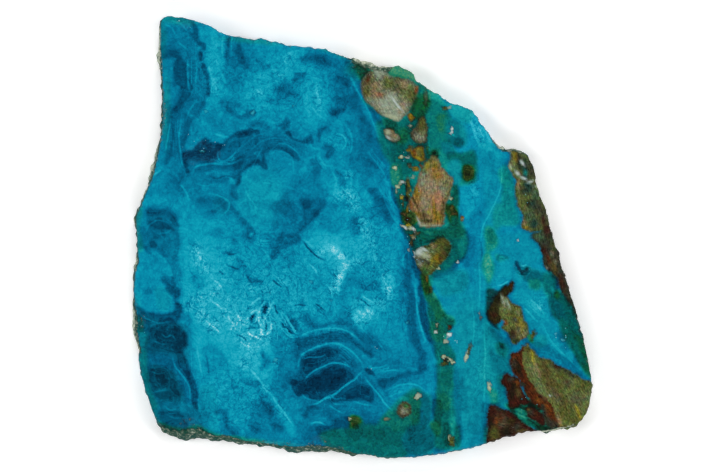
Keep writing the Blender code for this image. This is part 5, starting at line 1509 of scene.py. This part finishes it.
# ---------------------------------------------------------------------------------------------
# Materials
# ---------------------------------------------------------------------------------------------
def add(tree, kind, inputs=None, **settings):
    """Adds a node with its settings, and sets or links its inputs, which are given by name or number."""
    made = tree.nodes.new(kind)
    for name, value in settings.items():
        setattr(made, name, value)
    for key, value in (inputs or {}).items():
        if isinstance(value, bpy.types.NodeSocket):
            tree.links.new(value, made.inputs[key])
        else:
            made.inputs[key].default_value = value
    return made


def polished_chrysocolla(colours):
    """Chrysocolla in quartz, sawn and polished: glassy blue and green silica with fragments of rock.

    The polish is a mirror-flat gloss, the broken sides are dull and crusted, and the sawn back is matt.
    """
    material = bpy.data.materials.new("polished_chrysocolla")
    material.use_nodes = True
    tree = material.node_tree
    tree.nodes.clear()
    metres = add(tree, "ShaderNodeTexCoord").outputs["Object"]
    place = add(tree, "ShaderNodeVectorMath", {0: metres, "Scale": 1 / MM}, operation="SCALE").outputs[0]
    drawn = {
        name: add(tree, "ShaderNodeAttribute", attribute_name=name)
        for name in ("tone", "hue", "band", "line", "rock", "rock_colour", "finish", "crust")
    }
    line = add(tree, "ShaderNodeSeparateXYZ", {0: drawn["line"].outputs["Vector"]}).outputs
    rock = add(tree, "ShaderNodeSeparateXYZ", {0: drawn["rock"].outputs["Vector"]}).outputs
    finish = add(tree, "ShaderNodeSeparateXYZ", {0: drawn["finish"].outputs["Vector"]}).outputs
    frost = rock["Z"]
    face, back, glitter = finish["X"], finish["Y"], finish["Z"]

    # The silica grew in swirls, so its fine grain is bent by a slow noise.
    slow = add(tree, "ShaderNodeTexNoise", {"Vector": place, "Scale": 0.22, "Detail": 3.0}).outputs["Color"]
    bent = add(
        tree, "ShaderNodeVectorMath", {0: slow, 1: (2.2, 2.2, 2.2), 2: place}, operation="MULTIPLY_ADD"
    ).outputs[0]
    mottle = add(
        tree, "ShaderNodeTexNoise", {"Vector": bent, "Scale": 0.55, "Detail": 5.0, "Roughness": 0.68}
    ).outputs["Fac"]
    grain = add(
        tree, "ShaderNodeTexNoise", {"Vector": bent, "Scale": 1.9, "Detail": 3.0, "Roughness": 0.6}
    ).outputs["Fac"]
    mottle_tone = add(
        tree, "ShaderNodeMapRange", {"Value": mottle, "To Min": -34.0, "To Max": 34.0}, clamp=False
    ).outputs[0]
    grain_tone = add(
        tree, "ShaderNodeMapRange", {"Value": grain, "To Min": -20.0, "To Max": 20.0}, clamp=False
    ).outputs[0]

    # Agate bands follow the shape of the clouds, and show best in the dark stone.
    band_at = add(
        tree,
        "ShaderNodeMath",
        {0: mottle, 1: 16.0, 2: drawn["band"].outputs["Fac"]},
        operation="MULTIPLY_ADD",
    ).outputs[0]
    bands = add(
        tree,
        "ShaderNodeTexNoise",
        {"W": band_at, "Scale": 0.23, "Detail": 3.0, "Roughness": 0.6},
        noise_dimensions="1D",
    ).outputs["Fac"]
    band_tone = add(
        tree, "ShaderNodeMapRange", {"Value": bands, "To Min": -17.0, "To Max": 17.0}, clamp=False
    ).outputs[0]
    band_share = add(
        tree,
        "ShaderNodeMapRange",
        {"Value": drawn["tone"].outputs["Fac"], "From Min": 112.0, "From Max": 84.0},
    ).outputs[0]

    # Threads of white quartz: the places where a bent noise crosses its middle.
    threads = []
    for scale, width in ((0.4, 0.03), (0.95, 0.045)):
        wool = add(
            tree,
            "ShaderNodeTexNoise",
            {"Vector": bent, "Scale": scale, "Detail": 3.0, "Roughness": 0.6, "Distortion": 0.3},
        ).outputs["Fac"]
        away = add(tree, "ShaderNodeMath", {0: wool, 1: 0.5}, operation="SUBTRACT").outputs[0]
        size = add(tree, "ShaderNodeMath", {0: away}, operation="ABSOLUTE").outputs[0]
        threads.append(
            add(
                tree,
                "ShaderNodeMapRange",
                {"Value": size, "From Min": width, "From Max": 0.0, "To Max": 1.0},
                interpolation_type="SMOOTHSTEP",
            ).outputs[0]
        )
    thread = add(tree, "ShaderNodeMath", {0: threads[0], 1: threads[1]}, operation="MAXIMUM").outputs[0]
    thread_tone = add(
        tree, "ShaderNodeMapRange", {"Value": thread, "To Min": -14.0, "To Max": 50.0}, clamp=False
    ).outputs[0]

    # Healed fractures: a net of fine dark seams round paler flakes, strongest where the stone is frosted.
    net = add(
        tree, "ShaderNodeTexVoronoi", {"Vector": bent, "Scale": 0.55}, feature="DISTANCE_TO_EDGE"
    ).outputs["Distance"]
    net_tone = add(
        tree, "ShaderNodeMapRange", {"Value": net, "From Max": 0.14, "To Min": -30.0, "To Max": 8.0}
    ).outputs[0]
    net_share = add(tree, "ShaderNodeMapRange", {"Value": frost, "To Min": 0.1, "To Max": 1.0}).outputs[0]

    # Thin agate lines, drawn crisp: full inside their half width and gone just past it.
    wavering = add(
        tree, "ShaderNodeMath", {0: grain, 1: 1.2, 2: line["X"]}, operation="MULTIPLY_ADD"
    ).outputs[0]
    centred = add(tree, "ShaderNodeMath", {0: wavering, 1: -0.6}, operation="ADD").outputs[0]
    from_line = add(tree, "ShaderNodeMath", {0: centred}, operation="ABSOLUTE").outputs[0]
    on_line = add(
        tree,
        "ShaderNodeMapRange",
        {"Value": from_line, "From Min": 1.5, "From Max": 0.5},
        interpolation_type="SMOOTHSTEP",
    ).outputs[0]

    # Where malachite and iron colour the stone, it is more granular.
    granular = add(
        tree,
        "ShaderNodeMapRange",
        {
            "Value": drawn["hue"].outputs["Fac"],
            "From Min": 0.3,
            "From Max": 1.3,
            "To Min": 1.0,
            "To Max": 1.8,
        },
    ).outputs[0]
    stained = add(
        tree, "ShaderNodeMapRange", {"Value": rock["X"], "From Min": 3.6, "From Max": 0.6}
    ).outputs[0]
    tone = drawn["tone"].outputs["Fac"]
    for amount, share in (
        (stained, -20.0),
        (mottle_tone, 1.0),
        (grain_tone, granular),
        (band_tone, band_share),
        (thread_tone, frost),
        (net_tone, net_share),
        (line["Z"], on_line),
    ):
        tone = add(
            tree, "ShaderNodeMath", {0: amount, 1: share, 2: tone}, operation="MULTIPLY_ADD"
        ).outputs[0]
    tone_share = add(tree, "ShaderNodeMath", {0: tone, 1: TONE_TOP}, operation="DIVIDE").outputs[0]

    # Blue where copper silicate is pure, teal to leaf green where malachite joins it.
    speckle = add(
        tree, "ShaderNodeMapRange", {"Value": grain, "To Min": -1.0, "To Max": 1.0}, clamp=False
    ).outputs[0]
    speckled = add(
        tree,
        "ShaderNodeMath",
        {0: speckle, 1: granular, 2: drawn["hue"].outputs["Fac"]},
        operation="MULTIPLY_ADD",
    ).outputs[0]
    hue = add(
        tree, "ShaderNodeMath", {0: speckle, 1: -1.0, 2: speckled}, operation="MULTIPLY_ADD"
    ).outputs[0]
    silica = None
    for step, stops in enumerate((BLUE_TONES, TEAL_TONES, LEAF_TONES, EARTH_TONES)):
        row = add(tree, "ShaderNodeValToRGB", {"Fac": tone_share})
        elements = row.color_ramp.elements
        while len(elements) < len(stops):
            elements.new(1.0)
        for element, (at, name) in zip(elements, stops):
            element.position = at / TONE_TOP
            element.color = (*getattr(colours, name), 1.0)
        if silica is None:
            silica = row.outputs["Color"]
            continue
        share = add(tree, "ShaderNodeMath", {0: hue, 1: 1.0 - step}, operation="ADD", use_clamp=step > 1)
        silica = add(
            tree,
            "ShaderNodeMix",
            {0: share.outputs[0], 6: silica, 7: row.outputs["Color"]},
            data_type="RGBA",
        ).outputs[2]

    # Fragments of rock: fibrous grain that runs along each, and edges that the grain has gnawed.
    turned = add(
        tree, "ShaderNodeVectorRotate", {"Vector": place, "Angle": rock["Y"]}, rotation_type="Z_AXIS"
    ).outputs[0]
    stretched = add(
        tree, "ShaderNodeVectorMath", {0: turned, 1: (0.8, 3.0, 1.0)}, operation="MULTIPLY"
    ).outputs[0]
    fibre = add(
        tree, "ShaderNodeTexNoise", {"Vector": stretched, "Scale": 1.0, "Detail": 5.0, "Roughness": 0.7}
    ).outputs["Fac"]
    fibre_shade = add(
        tree,
        "ShaderNodeMapRange",
        {"Value": fibre, "From Min": 0.3, "From Max": 0.7, "To Min": 0.1, "To Max": 1.4},
    ).outputs[0]
    rim_shade = add(
        tree,
        "ShaderNodeMapRange",
        {"Value": rock["X"], "From Min": -3.5, "From Max": 0.5, "To Min": 1.0, "To Max": 0.5},
    ).outputs[0]
    gritty = add(
        tree,
        "ShaderNodeMapRange",
        {"Value": grain, "From Min": 0.3, "From Max": 0.7, "To Min": 0.55, "To Max": 1.45},
    ).outputs[0]
    worn = add(tree, "ShaderNodeMath", {0: fibre_shade, 1: gritty}, operation="MULTIPLY").outputs[0]
    shade = add(tree, "ShaderNodeMath", {0: worn, 1: rim_shade}, operation="MULTIPLY").outputs[0]
    # Quartz and feldspar are smoother than the dark rocks, so the grain shows less in pale fragments.
    paleness = add(
        tree, "ShaderNodeVectorMath", {0: drawn["rock_colour"].outputs["Vector"]}, operation="LENGTH"
    ).outputs["Value"]
    plainness = add(
        tree, "ShaderNodeMapRange", {"Value": paleness, "From Min": 0.3, "From Max": 0.7, "To Max": 0.7}
    ).outputs[0]
    shade = add(tree, "ShaderNodeMix", {0: plainness, 2: shade, 3: 0.72}).outputs[0]
    plain_rock = add(
        tree,
        "ShaderNodeVectorMath",
        {0: drawn["rock_colour"].outputs["Vector"], "Scale": shade},
        operation="SCALE",
    ).outputs[0]
    # Each rock is a mixture of minerals, so its hue varies from grain to grain.
    minerals = add(
        tree, "ShaderNodeTexNoise", {"Vector": place, "Scale": 1.1, "Detail": 3.0, "Roughness": 0.6}
    ).outputs["Color"]
    tinge = add(
        tree,
        "ShaderNodeVectorMath",
        {0: minerals, 1: (1.9, 1.3, 1.7), 2: (0.05, 0.35, 0.15)},
        operation="MULTIPLY_ADD",
    ).outputs[0]
    tinge_share = add(
        tree,
        "ShaderNodeMapRange",
        {"Value": paleness, "From Min": 0.3, "From Max": 0.7, "To Min": 0.8, "To Max": 0.1},
    ).outputs[0]
    rock_colour = add(
        tree,
        "ShaderNodeMix",
        {0: tinge_share, 6: plain_rock, 7: tinge},
        data_type="RGBA",
        blend_type="MULTIPLY",
    ).outputs[2]
    gnawed = add(
        tree, "ShaderNodeMath", {0: grain, 1: 3.4, 2: rock["X"]}, operation="MULTIPLY_ADD"
    ).outputs[0]
    in_rock = add(
        tree,
        "ShaderNodeMapRange",
        {"Value": gnawed, "From Min": 3.1, "From Max": 0.5},
        interpolation_type="SMOOTHSTEP",
    ).outputs[0]
    stone = add(tree, "ShaderNodeMix", {0: in_rock, 6: silica, 7: rock_colour}, data_type="RGBA").outputs[2]

    # Painted glints: pale sparks where quartz grains catch the light, each a fraction of a millimetre.
    cells = add(tree, "ShaderNodeTexVoronoi", {"Vector": place, "Scale": 2.1})
    chosen = add(tree, "ShaderNodeSeparateXYZ", {0: cells.outputs["Color"]}).outputs
    chance = add(tree, "ShaderNodeMath", {0: chosen["X"], 1: glitter}, operation="LESS_THAN").outputs[0]
    reach = add(
        tree, "ShaderNodeMath", {0: chosen["Z"], 1: 0.22, 2: 0.08}, operation="MULTIPLY_ADD"
    ).outputs[0]
    close = add(
        tree, "ShaderNodeMath", {0: cells.outputs["Distance"], 1: reach}, operation="LESS_THAN"
    ).outputs[0]
    spark = add(tree, "ShaderNodeMath", {0: chance, 1: close}, operation="MULTIPLY").outputs[0]
    faint = add(tree, "ShaderNodeMath", {0: spark, 1: 0.6}, operation="MULTIPLY").outputs[0]
    spark_colour = add(
        tree,
        "ShaderNodeMix",
        {0: chosen["Y"], 6: (*colours.milky_cyan, 1.0), 7: (*colours.frost_white, 1.0)},
        data_type="RGBA",
    ).outputs[2]
    sparkling = add(
        tree, "ShaderNodeMix", {0: faint, 6: stone, 7: spark_colour}, data_type="RGBA"
    ).outputs[2]

    # The broken sides are weathered to a grey and cream crust, with the stone showing through.
    lumps = add(
        tree, "ShaderNodeTexNoise", {"Vector": place, "Scale": 1.1, "Detail": 6.0, "Roughness": 0.7}
    ).outputs["Fac"]
    # Where the crust amount passes 1, as on the left and upper rims, the crust turns paler; the bottom rim,
    # at 1, stays darker.
    crust_paling = add(
        tree,
        "ShaderNodeMapRange",
        {"Value": drawn["crust"].outputs["Fac"], "From Min": 1.0, "From Max": 2.0, "To Max": 0.3},
    ).outputs[0]
    crust_at = add(tree, "ShaderNodeMath", {0: lumps, 1: crust_paling}, operation="ADD").outputs[0]
    crust = add(tree, "ShaderNodeValToRGB", {"Fac": crust_at})
    crust_elements = crust.color_ramp.elements
    crust_elements.new(0.5)
    crust_steps = ((0.4, "crust_green"), (0.54, "crust_grey"), (0.7, "crust_cream"))
    for element, (at, name) in zip(crust_elements, crust_steps):
        element.position = at
        element.color = (*getattr(colours, name), 1.0)
    crust_edge = add(
        tree,
        "ShaderNodeMath",
        {0: lumps, 1: 1.8, 2: drawn["crust"].outputs["Fac"]},
        operation="MULTIPLY_ADD",
    ).outputs[0]
    crusted = add(
        tree, "ShaderNodeMapRange", {"Value": crust_edge, "From Min": 1.15, "From Max": 1.5, "To Max": 0.92}
    ).outputs[0]
    side_colour = add(
        tree, "ShaderNodeMix", {0: crusted, 6: sparkling, 7: crust.outputs["Color"]}, data_type="RGBA"
    ).outputs[2]
    flat = add(tree, "ShaderNodeMath", {0: face, 1: back}, operation="MAXIMUM").outputs[0]
    shown = add(tree, "ShaderNodeMix", {0: flat, 6: side_colour, 7: sparkling}, data_type="RGBA").outputs[2]

    # Polish on the face, dull breaks, and saw marks about 0.6 mm apart on the back.
    saw = add(tree, "ShaderNodeTexWave", {"Vector": place, "Scale": 0.27, "Distortion": 1.2, "Detail": 1.0})
    sawn = add(tree, "ShaderNodeMath", {0: saw.outputs["Fac"], 1: back}, operation="MULTIPLY").outputs[0]
    dull = add(
        tree,
        "ShaderNodeMapRange",
        {"Value": lumps, "From Min": 0.3, "From Max": 0.7, "To Min": 0.62, "To Max": 0.9},
    ).outputs[0]
    face_roughness = add(
        tree, "ShaderNodeMapRange", {"Value": in_rock, "To Min": 0.09, "To Max": 0.2}
    ).outputs[0]
    side_roughness = add(tree, "ShaderNodeMix", {0: crusted, 2: 0.45, 3: dull}).outputs[0]
    side_or_back = add(tree, "ShaderNodeMix", {0: back, 2: side_roughness, 3: 0.48}).outputs[0]
    roughness = add(tree, "ShaderNodeMix", {0: face, 2: side_or_back, 3: face_roughness}).outputs[0]
    rough_height = add(tree, "ShaderNodeMath", {0: grain, 1: lumps}, operation="ADD").outputs[0]
    not_flat = add(tree, "ShaderNodeMath", {0: 1.0, 1: flat}, operation="SUBTRACT").outputs[0]
    coarse = add(tree, "ShaderNodeMath", {0: crusted, 1: not_flat}, operation="MULTIPLY").outputs[0]
    side_height = add(tree, "ShaderNodeMath", {0: rough_height, 1: coarse}, operation="MULTIPLY").outputs[0]
    height = add(
        tree, "ShaderNodeMath", {0: sawn, 1: 0.1, 2: side_height}, operation="MULTIPLY_ADD"
    ).outputs[0]
    bump = add(
        tree, "ShaderNodeBump", {"Height": height, "Distance": 0.45 * MM, "Strength": 1.0}
    ).outputs[0]

    gloss = add(
        tree, "ShaderNodeMapRange", {"Value": flat, "From Min": 0.7, "To Min": 0.03, "To Max": 0.5}
    ).outputs[0]
    surface = add(
        tree,
        "ShaderNodeBsdfPrincipled",
        {
            "Base Color": shown,
            "Roughness": roughness,
            "IOR": QUARTZ_IOR,
            "Specular IOR Level": gloss,
            "Normal": bump,
        },
    )
    add(tree, "ShaderNodeOutputMaterial", {"Surface": surface.outputs[0]})
    return material


def pale_floor(settings):
    """Frosted acrylic over a lamp: an even matt white whose own glow keeps the shadows faint."""
    material = bpy.data.materials.new("frosted_acrylic")
    material.use_nodes = True
    tree = material.node_tree
    tree.nodes.clear()
    place = add(tree, "ShaderNodeTexCoord").outputs["Object"]
    mist = add(tree, "ShaderNodeTexNoise", {"Vector": place, "Scale": 9.0, "Detail": 2.0}).outputs["Fac"]
    roughness = add(tree, "ShaderNodeMapRange", {"Value": mist, "To Min": 0.7, "To Max": 0.9}).outputs[0]
    surface = add(
        tree,
        "ShaderNodeBsdfPrincipled",
        {
            "Base Color": (*settings.floor_colour, 1.0),
            "Roughness": roughness,
            "Specular IOR Level": 0.1,
            "Emission Color": (1.0, 1.0, 1.0, 1.0),
            "Emission Strength": FLOOR_GLOW,
        },
    )
    add(tree, "ShaderNodeOutputMaterial", {"Surface": surface.outputs[0]})
    return material


# ---------------------------------------------------------------------------------------------
# Operators
# ---------------------------------------------------------------------------------------------
class SLAB_OT_stage(bpy.types.Operator):
    """Lay the pale floor, hang the soft lights and set the camera"""

    bl_idname = "slab.stage"
    bl_label = "Stage"

    def execute(self, context):
        settings = context.scene.slab_stage
        bpy.ops.object.select_all(action="DESELECT")
        bpy.ops.mesh.primitive_grid_add(
            x_subdivisions=FLOOR_CELLS,
            y_subdivisions=FLOOR_CELLS,
            size=2 * settings.floor_reach,
            location=(0, 0, -FLOOR_GAP_MM * MM),
        )
        floor = context.view_layer.objects.active
        floor.name = "floor"
        bpy.ops.object.transform_apply(location=True, rotation=True, scale=True)
        floor.data.materials.append(pale_floor(settings))
        for number, turn in enumerate(SOFTBOX_TURNS):
            angle = math.radians(turn)
            rise = math.radians(SOFTBOX_RISE)
            spot = (
                SOFTBOX_REACH * math.cos(rise) * math.cos(angle),
                SOFTBOX_REACH * math.cos(rise) * math.sin(angle),
                SOFTBOX_REACH * math.sin(rise),
            )
            bpy.ops.object.light_add(
                type="AREA", location=spot, rotation=(math.pi / 2 - rise, 0, angle + math.pi / 2)
            )
            light = context.view_layer.objects.active
            light.name = f"softbox_{number + 1}"
            light.data.shape = "SQUARE"
            light.data.size = SOFTBOX_SIZE
            light.data.energy = settings.softbox_power
        world = bpy.data.worlds.new("dim_room")
        world.use_nodes = True
        room = world.node_tree.nodes["Background"]
        room.inputs["Color"].default_value = ROOM_COLOUR
        room.inputs["Strength"].default_value = ROOM_LIGHT
        context.scene.world = world
        context.scene.view_settings.view_transform = "Standard"
        lens_share = settings.lens / SENSOR_MM
        bpy.ops.object.camera_add(
            location=(
                (PICTURE_CENTRE[0] - MAP_CENTRE[0]) * MAP_UNIT_MM * MM,
                (MAP_CENTRE[1] - PICTURE_CENTRE[1]) * MAP_UNIT_MM * MM,
                SLAB_HIGH[2] + settings.view_width * lens_share,
            ),
            rotation=(0, 0, 0),
        )
        camera = context.view_layer.objects.active
        camera.name = "camera"
        camera.data.lens = settings.lens
        camera.data.sensor_width = SENSOR_MM
        camera.data.clip_end = CAMERA_END
        context.scene.camera = camera
        return {"FINISHED"}


class SLAB_OT_stone(bpy.types.Operator):
    """Make the polished slab, with its broken sides and its pattern"""

    bl_idname = "slab.stone"
    bl_label = "Stone"

    def execute(self, context):
        slab = fine_slab(context.scene.slab_sizes)
        draw_pattern(slab.data, context.scene.slab_colours)
        slab.data.materials.clear()
        slab.data.materials.append(polished_chrysocolla(context.scene.slab_colours))
        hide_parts(SLAB)
        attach(slab, "root")
        return {"FINISHED"}


class SLAB_PT_make(bpy.types.Panel):
    """The slab's steps and settings"""

    bl_label = "Chrysocolla slab"
    bl_idname = "SLAB_PT_make"
    bl_space_type = "VIEW_3D"
    bl_region_type = "UI"
    bl_category = "Slab"

    def draw(self, context):
        layout = self.layout
        for operator in OPERATORS:
            layout.operator(operator.bl_idname)
        for settings in (context.scene.slab_stage, context.scene.slab_sizes, context.scene.slab_colours):
            for name in type(settings).__annotations__:
                layout.prop(settings, name)


GROUPS = {"slab_stage": StageSettings, "slab_sizes": SlabSizes, "slab_colours": SlabColours}
OPERATORS = [SLAB_OT_stage, SLAB_OT_stone]


def register():
    for made in [*GROUPS.values(), *OPERATORS, SLAB_PT_make]:
        bpy.utils.register_class(made)
    for name, group in GROUPS.items():
        setattr(bpy.types.Scene, name, PointerProperty(type=group))


def unregister():
    for name in GROUPS:
        delattr(bpy.types.Scene, name)
    for made in [SLAB_PT_make, *OPERATORS, *GROUPS.values()]:
        bpy.utils.unregister_class(made)


def main():
    register()
    bpy.ops.slab.stage()
    bpy.ops.slab.stone()


if __name__ == "__main__":
    main()
